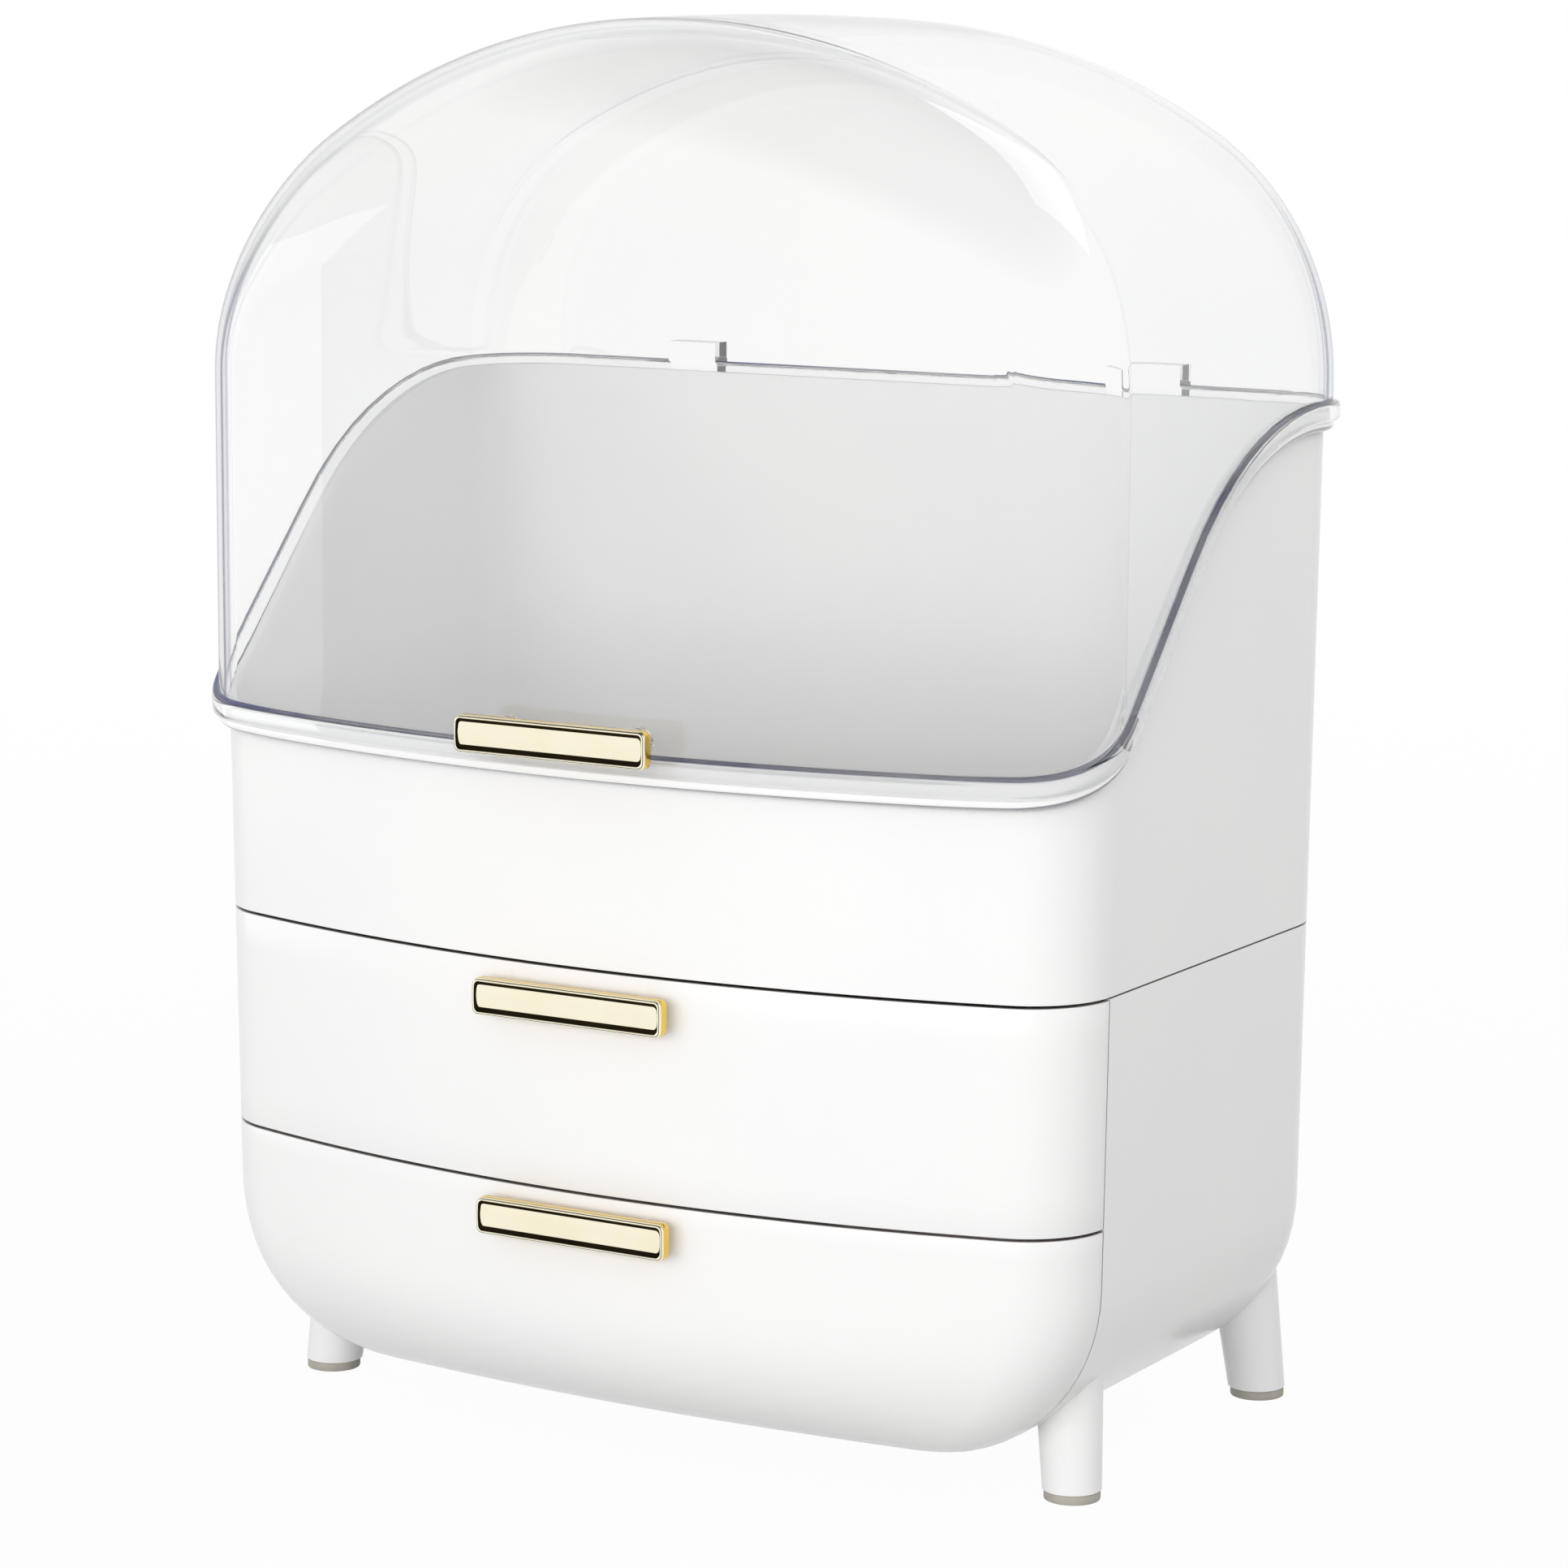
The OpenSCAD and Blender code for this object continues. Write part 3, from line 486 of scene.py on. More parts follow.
def clear_plastic(name, shades, level=1.0, streaks=None, polish=0.0):
    """Clear plastic: refracts, mirrors a little and lets lamp light through. Shades is painted edge shade,
    how much passes from face-on (0) to edge-on (1), for the dark lines that refraction shows along edges.
    Level is what is left of that shading where the sheet lies flat. With streaks, the number is their scale,
    and the painted shading comes and goes along them instead."""
    n = Nodes(bpy.data.materials.new(name))
    s = n.shader(IOR=1.49, Transmission_Weight=1.0, Coat_Weight=polish, Coat_IOR=2.0)
    weight = n.new("ShaderNodeLayerWeight")
    weight.inputs["Blend"].default_value = 0.5
    # each surface passes the square root of this colour, so the shades are squared
    shading = n.ramp(weight.outputs["Facing"], [(at, [v * v for v in shade]) for at, shade in shades])
    cloud = n.blend(n.spread(n.noise(6, 2), 0, 1), linear((0.995, 0.995, 0.995)),
                    linear((0.985, 0.985, 0.98)))
    tint = n.new("ShaderNodeMix", data_type="RGBA", blend_type="MULTIPLY")
    n.link(shading, tint.inputs["B"])
    n.link(cloud, tint.inputs["A"])
    if streaks:
        n.link(n.spread(n.noise(streaks, 3, 0.6), 0.82, 1.0, 0.35, 0.6), tint.inputs["Factor"])
    else:
        # the painted edge shade is weaker on flat-lying parts and where front and back turn into the roof
        normal = n.normal_xyz()
        lying = n.spread(n.maths("ABSOLUTE", normal["Z"]), 1.0, level, 0.25, 0.85)
        turn = n.maths("ABSOLUTE", n.maths("MULTIPLY", normal["Y"], normal["Z"]))
        n.link(n.maths("MINIMUM", lying, n.spread(turn, 1.0, level, 0.2, 0.35)), tint.inputs["Factor"])
    n.link(tint.outputs["Result"], s.inputs["Base Color"])
    n.link(n.spread(n.noise(35, 4, 0.6), 0.0, 0.02, 0.4, 0.8), s.inputs["Roughness"])
    n.link(n.bump(n.noise(5, 1, 0.3), 0.00005), s.inputs["Normal"])
    see = n.new("ShaderNodeBsdfTransparent")
    see.inputs["Color"].default_value = (0.955, 0.96, 0.965, 1)
    shadow = n.new("ShaderNodeLightPath").outputs["Is Shadow Ray"]
    return n.finish(n.mix(shadow, s.outputs[0], see.outputs[0]))


def metal(name, colour_a, colour_b, rough, grain=0.000004, stretch=(1, 30, 30), scale=60):
    """Plated or turned metal with faint drawn lines and slight tarnish."""
    n = Nodes(bpy.data.materials.new(name))
    s = n.shader(Metallic=1.0)
    n.link(n.blend(n.spread(n.noise(70, 4, 0.6), 0, 1), linear(colour_a), linear(colour_b)),
           s.inputs["Base Color"])
    lines = n.noise(scale, 3, 0.6, stretch=stretch)
    n.link(n.spread(lines, rough[0], rough[1]), s.inputs["Roughness"])
    n.link(n.bump(lines, grain), s.inputs["Normal"])
    return n.finish(s.outputs[0])


def rubber(name, colour_a, colour_b):
    n = Nodes(bpy.data.materials.new(name))
    s = n.shader(IOR=1.45)
    s.inputs["Sheen Weight"].default_value = 0.15
    n.link(n.blend(n.spread(n.noise(160, 4, 0.6), 0, 1), linear(colour_a), linear(colour_b)),
           s.inputs["Base Color"])
    n.link(n.spread(n.noise(300, 3), 0.6, 0.8), s.inputs["Roughness"])
    n.link(n.bump(n.noise(1500, 3, 0.6), 0.00003), s.inputs["Normal"])
    return n.finish(s.outputs[0])


WHITE = ((0.955, 0.955, 0.955), (0.965, 0.963, 0.96))
INNER = ((0.93, 0.93, 0.93), (0.95, 0.95, 0.945))
# a lighter copy of the white, painted light for the tray's bead
LIT_WHITE = ((0.97, 0.97, 0.97), (0.98, 0.978, 0.975))
# painted shade for seams, grooves and closed corners
CREVICE_SHADE = (0.36, 0.30, 0.27)

white = plastic("white_plastic", *WHITE)
# the edges and inner sheets, the drawer tubs and the shelf get painted shade in their seams and corners
edge_white = plastic("white_plastic_edges", *WHITE, nook_shade=CREVICE_SHADE)
inner_white = plastic("white_plastic_inner", *INNER, rough=(0.35, 0.5), nook_shade=CREVICE_SHADE)
shaded_white = plastic("white_plastic_shaded", *WHITE, nook_shade=(0.36, 0.34, 0.36), openness=(0.5, 0.7))
# the bead: painted light by its lighter white, and painted shade on its turned-down edge; the coat is a real
# gloss
bead_white = plastic("white_plastic_bead", *LIT_WHITE, under=(0.45, 0.46, 0.50), polish=1.0)
# painted edge shade on the clear walls: darker towards edge-on, for the dark lines refraction shows along
# edges
clear = clear_plastic("clear_plastic", [
    (0.0, (1.0, 1.0, 1.0)), (0.55, (0.97, 0.972, 0.98)), (0.70, (0.93, 0.935, 0.95)),
    (0.85, (0.85, 0.86, 0.885)), (1.0, (0.50, 0.52, 0.58))], level=0.12)
# painted edge shade on the rounded edges: thin dark double lines at set angles towards edge-on
clear_edge = clear_plastic("clear_plastic_edge", [
    (0.0, (1.0, 1.0, 1.0)), (0.48, (0.985, 0.985, 0.99)), (0.505, (0.89, 0.90, 0.92)),
    (0.53, (0.965, 0.97, 0.98)), (0.605, (0.94, 0.945, 0.96)), (0.64, (0.38, 0.40, 0.47)),
    (0.665, (0.40, 0.42, 0.49)), (0.70, (0.80, 0.82, 0.86)), (0.80, (0.82, 0.84, 0.87)),
    (0.86, (0.46, 0.48, 0.54)), (1.0, (0.32, 0.34, 0.40))], level=0.3)
# painted edge shade on the rim: grey towards edge-on; the coat is a real gloss
clear_rim = clear_plastic("clear_plastic_rim", [
    (0.0, (1.0, 1.0, 1.0)), (0.66, (0.98, 0.985, 0.99)), (0.80, (0.84, 0.86, 0.90)),
    (0.92, (0.55, 0.57, 0.64)), (1.0, (0.45, 0.47, 0.55))], polish=1.0)
# painted dark reflection: the flange's root is tinted deep navy in streaks, for the dark surroundings the
# clear plastic shows there by refraction
clear_root = clear_plastic("clear_plastic_root", [
    (0.0, (0.05, 0.07, 0.22)), (1.0, (0.12, 0.14, 0.28))], streaks=14)
# painted light and shade: one gold plate as a pale lit copy for the rim and face, and a deeper shaded copy
# for the back, sides and posts
gold_lit = metal("gold_plate_lit", (0.985, 0.96, 0.87), (0.97, 0.94, 0.83), (0.09, 0.16))
gold_shaded_side = metal("gold_plate_shaded_side", (0.93, 0.80, 0.42), (0.90, 0.76, 0.38), (0.12, 0.2))
# painted shade: the groove round the handle's face is near-black brown metal, for the shade and dark
# reflections it holds
groove = metal("gold_groove", (0.15, 0.12, 0.065), (0.10, 0.085, 0.05), (0.3, 0.45))
steel = metal("steel", (0.78, 0.78, 0.79), (0.70, 0.70, 0.71), (0.22, 0.36), scale=200, stretch=(1, 1, 1))
pad_rubber = rubber("pad_rubber", (0.72, 0.70, 0.66), (0.66, 0.64, 0.60))


# ----------------------------------------
# Cabinet
# ----------------------------------------
def curtain(patches, outer_rows, inner_rows, bottom=True):
    """Open-ended curved wall with a floor: outer sheet (finish 0), inner sheet and edges (finish 1)."""
    patches.grid(outer_rows)
    patches.grid(inner_rows, slot=1)
    patches.grid([outer_rows[-1], inner_rows[-1]], slot=1)
    for end in (0, -1):
        patches.grid([[r[end] for r in outer_rows], [r[end] for r in inner_rows]], slot=1)
    lo, li = outer_rows[0], inner_rows[0]
    if bottom:
        patches.fan_strip(lo)
        patches.fan_strip(li, 1)
        patches.face([lo[0], lo[-1], li[-1], li[0]], 1)
    else:
        patches.grid([lo, li], slot=1)


def tub(patches, outer_rows, inner_rows, slot=0):
    """Closed tray: outer and inner sheets, rim and two floors."""
    patches.grid(outer_rows, closed=True, slot=slot)
    patches.grid(inner_rows, closed=True, slot=slot)
    patches.grid([outer_rows[-1], inner_rows[-1]], closed=True, slot=slot)
    patches.face(outer_rows[0][::-1], slot)
    patches.face(inner_rows[0], slot)


def build_cabinet():
    p = Patches()
    top = TRAY_SEAM - 0.5
    deck_t, deck_in, ledge_t, ledge_in, runner_x, runner_half, runner_gap = 3, 1.2, 2, 2.4, 60, 3, 30
    plan = back_plan()
    outer = [place(plan, z, 0) for z in round_heights(0, top, extra=5)]
    inner = [place(plan, z, WALL) for z in round_heights(WALL, top, extra=5)]
    curtain(p, outer, inner)
    # deck plate, its edge standing in from the wall
    deck = back_plan()
    front = deck[:, 1] < Y_SIDE + deck_in
    low, high = place(deck, TRAY_SEAM - deck_t, deck_in), place(deck, TRAY_SEAM, deck_in)
    for ring in (low, high):
        ring[front, 1] = Y_SIDE + deck_in
    p.grid([low, high], closed=True, slot=1)
    p.fan_strip(low, 1)
    p.fan_strip(high, 1)
    # ledges under the shelf
    z = DRAWER_SEAM - SHELF_T / 2
    rows_out = [place(plan, h, WALL / 2) for h in (z - ledge_t, z)]
    rows_in = [place(plan, h, WALL + ledge_in) for h in (z - ledge_t, z)]
    curtain(p, rows_out, rows_in, bottom=False)
    # runners for the lower drawer
    for x in (-runner_x, runner_x):
        block(p, (x - runner_half, Y_SIDE, BOTTOM_Z + WALL / 2),
              (x + runner_half, Y_BACK - runner_gap, BOTTOM_Z + BOX_IN - RUN))
    obj = new_object("cabinet_body", p.bmesh())
    return finish_piece(obj, "cabinet", ["cabinet_shell"], [white, edge_white])


def wall_y(z):
    return Y_FRONT + front_in(z, 0)


def handle_seat(z):
    return wall_y(z) - SEAT_LIFT


def screw_seat(z):
    return wall_y(z) + BOX_IN + BOX_T + 1


def build_front(name, body, node, outer, inner, z, closed_floor):
    p = Patches()
    curtain(p, outer, inner, bottom=closed_floor)
    obj = new_object(name, p.bmesh(), [white, edge_white])
    drill(obj, [(x, z) for x in POSTS], wall_y(z) - 5, wall_y(z) + 12, HOLE_D)
    return finish_piece(obj, body, [node], [white, edge_white], bevel=0.35)


def build_upper_front():
    heights = list(np.linspace(DRAWER_SEAM + FRONT_GAP / 2, TRAY_SEAM - FRONT_GAP, 7))
    outer = [front_ring(z, 0, SIDE_GAP) for z in heights]
    inner = [front_ring(z, FRONT_T, SIDE_GAP) for z in heights]
    return build_front("upper_drawer_panel", "upper_drawer", "upper_drawer_front", outer, inner,
                       UPPER_HANDLE_Z, False)


def build_lower_front():
    top = DRAWER_SEAM - FRONT_GAP / 2
    outer = [front_ring(z, 0, SIDE_GAP) for z in round_heights(0, top)]
    inner = [front_ring(z, FRONT_T, SIDE_GAP) for z in round_heights(FRONT_T, top)]
    return build_front("lower_drawer_panel", "lower_drawer", "lower_drawer_front", outer, inner,
                       LOWER_HANDLE_Z, True)


def build_box(name, body, node, e, heights_out, heights_in, z):
    p = Patches()
    plan = whole_plan()
    outer = [place(plan, h, e) for h in heights_out]
    inner = [place(plan, h, e + BOX_T) for h in heights_in]
    tub(p, outer, inner)
    for x in POSTS:
        rod(p, "y", (x, handle_seat(z) + 0.02, z), BOSS_D, screw_seat(z) - handle_seat(z) - 0.04, edge=0.3)
    obj = new_object(name, p.bmesh())
    drill(obj, [(x, z) for x in POSTS], wall_y(z) - 5, wall_y(z) + 14, HOLE_D)
    return finish_piece(obj, body, [node], [inner_white], bevel=0.3)


def build_boxes():
    low, high = DRAWER_SEAM + SHELF_T / 2 + RUN, TRAY_SEAM - BOX_DROP
    build_box("upper_drawer_tub", "upper_drawer", "upper_drawer_box", BOX_IN,
              np.linspace(low, high, 7), np.linspace(low + BOX_T, high, 7), UPPER_HANDLE_Z)
    high = DRAWER_SEAM - BOX_DROP
    build_box("lower_drawer_tub", "lower_drawer", "lower_drawer_box", BOX_IN,
              round_heights(BOX_IN, high), round_heights(BOX_IN + BOX_T, high), LOWER_HANDLE_Z)


# ----------------------------------------
# Lid: arches in a row, with a bowed cap in front and a flat cap behind
# ----------------------------------------
LID_HALF = HALF_W + LID_OUT
LID_BACK = Y_BACK + LID_OUT_BACK
SPRING = LID_TOP - ARCH_RISE
ARCH_X = LID_HALF - ARCH_R
ROOF_R = (ARCH_X ** 2 + ARCH_RISE ** 2 - ARCH_R ** 2) / (2 * (ARCH_RISE - ARCH_R))
JOIN = math.atan2(SPRING - (LID_TOP - ROOF_R), ARCH_X)
MID_Y = (Y_FRONT - LID_OUT + LID_BACK) / 2
UP_N, ARC_N, EDGE_N, LONG_N, CAP_N = 10, 18, 20, 14, 72


def roofness(z):
    q = np.clip((z - SPRING) / ARCH_RISE, 0, 1)
    return q * q * (3 - 2 * q)


def half_arch(e):
    """Rows of x, z, normal x, normal z, roofness. The upright part comes first, with z from 0 to 1."""
    up = np.linspace(0, 1, UP_N + 1)[:-1]
    rows = [(LID_HALF - e, u, 1, 0, 0) for u in up]
    for t in np.linspace(0, JOIN, ARC_N + 1):
        rows.append((ARCH_X + (ARCH_R - e) * math.cos(t), SPRING + (ARCH_R - e) * math.sin(t),
                     math.cos(t), math.sin(t), float(roofness(SPRING + ARCH_R * math.sin(t)))))
    for t in np.linspace(JOIN, math.pi / 2, ARC_N + 1)[1:]:
        z = LID_TOP - ROOF_R
        rows.append(((ROOF_R - e) * math.cos(t), z + (ROOF_R - e) * math.sin(t),
                     math.cos(t), math.sin(t), float(roofness(z + ROOF_R * math.sin(t)))))
    return np.array(rows)


def crown(y, w):
    return CROWN * w * (1 - np.square((y - MID_Y) / (LID_BACK - MID_Y)))


def lid_bow(x, e):
    return bow_y(x) - LID_OUT + e


def lift(points, h):
    """Puts the upright part of an arch between the rim line and the top of the upright walls."""
    foot = rim_z(points[:UP_N, 1], h)
    points[:UP_N, 2] = foot + (SPRING - foot) * np.linspace(0, 1, UP_N + 1)[:-1]
    return points


def arch_rows(e, h):
    a = half_arch(e)
    w = a[:, 4]
    rows = []
    for t in np.linspace(math.pi / 2, 0, EDGE_N + 1):
        r = EDGE_R + (EDGE_ROOF_R - EDGE_R) * w - e
        d = r * (1 - math.cos(t))
        x = a[:, 0] - a[:, 2] * d
        y = lid_bow(x, e) + r * (1 - math.sin(t))
        rows.append(lift(np.column_stack([x, y, a[:, 1] - a[:, 3] * d + crown(y, w)]), h))
    first = rows[-1][:, 1]
    r = REAR_R + (REAR_ROOF_R - REAR_R) * w - e
    last = LID_BACK - e - r
    for q in np.linspace(0, 1, LONG_N + 1)[1:-1]:
        y = first + (last - first) * q
        rows.append(lift(np.column_stack([a[:, 0], y, a[:, 1] + crown(y, w)]), h))
    for t in np.linspace(0, math.pi / 2, EDGE_N + 1):
        d = r * (1 - math.cos(t))
        y = LID_BACK - e - r * (1 - math.sin(t))
        rows.append(lift(np.column_stack([a[:, 0] - a[:, 2] * d, y, a[:, 1] - a[:, 3] * d + crown(y, w)]), h))
    return rows


def hood_sheet(p, e, h):
    """The hood's skin moved in by e, from the rim line moved up by h. Returns its bottom edge."""
    rows = arch_rows(e, h)
    whole = [np.vstack([r, (r * [-1, 1, 1])[::-1][1:]]) for r in rows]
    p.grid(whole[:EDGE_N + 1], slot=3)
    p.grid(whole[EDGE_N:-EDGE_N])
    p.grid(whole[-EDGE_N - 1:], slot=3)
    loops = []
    for k, edge in ((0, rows[0]), (-1, rows[-1])):
        share = np.linspace(1, -1, CAP_N + 1)
        cap = []
        for i, corner in enumerate(edge[:-1]):
            x = corner[0] * share
            y = lid_bow(x, e) if k == 0 else np.full(len(x), corner[1])
            z = np.full(len(x), corner[2])
            if i < UP_N:
                foot = rim_z(y, h)
                z = foot + (SPRING - foot) * i / UP_N
            cap.append(np.column_stack([x, y, z]))
        p.grid(cap)
        p.fan(cap[-1], edge[-1])
        loops.append(cap[0])
    right = np.array([r[0] for r in rows])
    # front edge left to right, right side front to back, back edge right to left, left side back to front
    left = (right * [-1, 1, 1])[::-1]
    return np.vstack([loops[0][::-1], right[1:], loops[1][1:], left[1:-1]])


def outward(loop):
    """Unit normals in plan of a closed loop that runs counter-clockwise seen from above."""
    d = np.roll(loop, -1, 0)[:, :2] - np.roll(loop, 1, 0)[:, :2]
    n = np.column_stack([d[:, 1], -d[:, 0]])
    return n / np.linalg.norm(n, axis=1)[:, None]


def push(loop, normals, out, h):
    p = loop.copy()
    p[:, :2] += normals * out
    p[:, 2] = rim_z(p[:, 1], h)
    return p


def build_lid():
    p = Patches()
    root, r = 0.8, 1.1  # fillet above the flange, rounding of its edge
    outer = hood_sheet(p, 0, FLANGE_H + root)
    inner = hood_sheet(p, LID_T, 0)
    n = outward(outer)
    fillet = [(root - root * math.cos(t), FLANGE_H + root - root * math.sin(t))
              for t in np.linspace(0, math.pi / 2, 6)]
    foot = [outer] + [push(outer, n, o, h) for o, h in fillet[1:]]
    quarter = np.linspace(0, math.pi / 2, 8)
    profile = [(FLANGE_OUT - r + r * math.sin(t), FLANGE_H - r + r * math.cos(t)) for t in quarter]
    profile += [(FLANGE_OUT - r + r * math.cos(t), r - r * math.sin(t)) for t in quarter]
    nose = [push(outer, n, o, h) for o, h in profile]
    p.grid(foot + nose[:4], closed=True, slot=2)
    p.grid(nose[3:] + [inner], closed=True, slot=1)
    finishes = [clear, clear_rim, clear_root, clear_edge]
    obj = new_object("clear_hood", p.bmesh(), finishes)
    # bosses behind the handle and the two hinge lugs
    extra = Patches()
    seat, screw = Y_FRONT - LID_OUT - LID_PAD, Y_FRONT - LID_OUT + LID_T + 1.2
    for x in POSTS:
        rod(extra, "y", (x, seat, LID_HANDLE_Z), BOSS_D, screw - seat, n=40)
    top, low = RIM_BACK + FLANGE_H + 6, RIM_BACK + 1
    y0, y1, y2 = LID_BACK - LID_T / 2, HINGE_Y - LUG_R, HINGE_Y - LUG_R + ARM_T
    turns = list(np.linspace(math.pi, 2 * math.pi, 17)) + list(np.linspace(0, math.pi / 2, 9)[1:])
    side = [(HINGE_Y + LUG_R * math.cos(a), HINGE_Z + LUG_R * math.sin(a)) for a in turns]
    side += [(y2, HINGE_Z + LUG_R), (y2, top), (y0, top), (y0, low), (y1, low)]
    for s in (-1, 1):
        rows = [[(x, y, z) for y, z in side] for x in (s * HINGE_X - LUG_W / 2, s * HINGE_X + LUG_W / 2)]
        extra.grid(rows, closed=True)
        extra.face(rows[0])
        extra.face(rows[1][::-1])
    combine(obj, extra, "UNION")
    drill(obj, [(x, LID_HANDLE_Z) for x in POSTS], seat - 2, screw + 6, HOLE_D)
    pins = Patches()
    for s in (-1, 1):
        rod(pins, "x", (s * HINGE_X - LUG_W, HINGE_Y, HINGE_Z), PIN_D + 2 * PIN_CLEAR, 2 * LUG_W, n=32)
    combine(obj, pins, "DIFFERENCE")
    return finish_piece(obj, "lid", ["lid_shell"], finishes, angle=30)


# ----------------------------------------
# Tray: one profile carried round the plan
# ----------------------------------------
def lid_loop(out):
    """Plan of the lid's upright walls, moved out by out: x, y of a closed loop."""
    rows = arch_rows(0, 0)
    right = np.array([r[0] for r in rows])[:, :2]
    x = np.linspace(-right[0, 0], right[0, 0], 60)
    front = np.column_stack([x, lid_bow(x, 0)])
    back = np.column_stack([x[::-1], np.full(60, LID_BACK)])
    loop = np.vstack([front, right[1:], back[1:], (right * [-1, 1])[::-1][1:-1]])
    n = outward(np.column_stack([loop, np.zeros(len(loop))]))
    return loop + n * out


def reach_to(loop, points, normals):
    """Distance from each point along its normal to the loop."""
    a, b = loop, np.roll(loop, -1, 0)
    d = b - a
    out = []
    for p, n in zip(points, normals):
        det = n[0] * -d[:, 1] + d[:, 0] * n[1]
        det = np.where(np.abs(det) < 1e-9, 1e-9, det)
        q = a - p
        along = (q[:, 0] * -d[:, 1] + d[:, 0] * q[:, 1]) / det
        share = (n[0] * q[:, 1] - n[1] * q[:, 0]) / det
        ok = (share >= -1e-6) & (share <= 1 + 1e-6) & (along > 0)
        out.append(along[ok].min())
    return np.array(out)


def build_tray():
    p = Patches()
    plan = whole_plan()
    under = wall_points(plan, 0, -BEAD_H)
    n = outward(under)
    reach = reach_to(lid_loop(BEAD_OUT - LID_OUT), under[:, :2], n)
    rows = []
    foot = place(plan, TRAY_SEAM, 0)
    steps = np.linspace(0, 1, 13)
    for q in steps:
        rows.append(place_each(plan, foot[:, 2] + (under[:, 2] - foot[:, 2]) * q, 0))
    rows[-1] = under
    # roundings of the bead below and above, and of the tray's floor
    r, c, f = 1.5, 0.6, 2.0
    seated = 0.05

    def ring(inset, h):
        q = under.copy()
        q[:, :2] += n * (reach - inset)[:, None]
        q[:, 2] = rim_z(q[:, 1], h)
        return q
    wall = len(rows) - 2
    rows.append(ring(r + 0.2, -BEAD_H))
    for t in np.linspace(0, math.pi / 2, 6):
        rows.append(ring(r - r * math.sin(t), -BEAD_H + r - r * math.cos(t)))
    for t in np.linspace(0, math.pi / 2, 6):
        rows.append(ring(c - c * math.cos(t), seated - c + c * math.sin(t)))
    bead = len(rows) - 1
    for inset, h in ((0, seated), (0, LIP_H - 0.5), (0.15, LIP_H - 0.15), (0.5, LIP_H),
                     (WALL - 0.5, LIP_H), (WALL - 0.15, LIP_H - 0.15), (WALL, LIP_H - 0.5)):
        rows.append(wall_points(plan, inset, h))
    top_in = rows[-1][:, 2]
    floor = TRAY_SEAM + FLOOR_T
    for q in steps[1:]:
        rows.append(place_each(plan, top_in + (floor + f - top_in) * q, WALL))
    for t in np.linspace(0, math.pi / 2, 6)[1:]:
        rows.append(place(plan, floor + f - f * math.sin(t), WALL + f * (1 - math.cos(t))))
    p.grid(rows[:wall + 1], closed=True)
    p.grid(rows[wall:wall + 3], closed=True, slot=1)
    p.grid(rows[wall + 2:bead + 1], closed=True, slot=2)
    p.grid(rows[bead:], closed=True)
    p.face(rows[0][::-1])
    p.face(rows[-1])
    finishes = [white, shaded_white, bead_white]
    obj = new_object("tray_body", p.bmesh(), finishes)
    cheeks = Patches()
    for s in (-1, 1):
        for c in (-1, 1):
            x = s * HINGE_X + c * (LUG_W / 2 + LUG_GAP + CHEEK_T / 2)
            reach = CHEEK_R - 0.02  # stays inside the part's box
            round_end = [(HINGE_Y + reach * math.cos(a), HINGE_Z + CHEEK_R * math.sin(a))
                         for a in np.linspace(-math.pi / 2, math.pi / 2, 19)]
            side = round_end + [(Y_BACK - 1, HINGE_Z + CHEEK_R), (Y_BACK - 1, HINGE_Z - 3 * CHEEK_R)]
            loops = [[(x + o, y, z) for y, z in side] for o in (-CHEEK_T / 2, CHEEK_T / 2)]
            cheeks.grid(loops, closed=True)
            cheeks.face(loops[0])
            cheeks.face(loops[1][::-1])
    combine(obj, cheeks, "UNION")
    return finish_piece(obj, "cabinet", ["upper_tray"], finishes, angle=30)


# ----------------------------------------
# Handles: rounded bar, thin rim, groove with painted shade, cushioned face, two posts
# ----------------------------------------
def bar_ring(y, inset_x, inset_top, inset_low, corner, bulge, n=7, long_n=24):
    hw, top, low = HANDLE_W / 2 - inset_x, HANDLE_H / 2 - inset_top, HANDLE_H / 2 - inset_low
    mid, hh = (top - low) / 2, (top + low) / 2
    corner = min(corner, hh * 0.95)
    pts = []
    for cx, cz, a in ((1, 1, 0), (-1, 1, 90), (-1, -1, 180), (1, -1, 270)):
        arc = [math.radians(a + 90 * i / n) for i in range(n + 1)]
        run = [(cx * (hw - corner) + corner * math.cos(t), cz * (hh - corner) + corner * math.sin(t))
               for t in arc]
        pts += run
        if a in (0, 180):
            x0, x1, z = run[-1][0], -run[-1][0], run[-1][1]
            pts += [(x0 + (x1 - x0) * k / long_n, z) for k in range(1, long_n)]
        else:
            x, z0, z1 = run[-1][0], run[-1][1], -run[-1][1]
            pts += [(x, z0 + (z1 - z0) * k / 6) for k in range(1, 6)]
    out = []
    for x, z in pts:
        shift = bulge * (z / hh) ** 2
        out.append((x - math.copysign(shift, x) * min(1, abs(x) / hw) ** 8, y, z + mid))
    return out


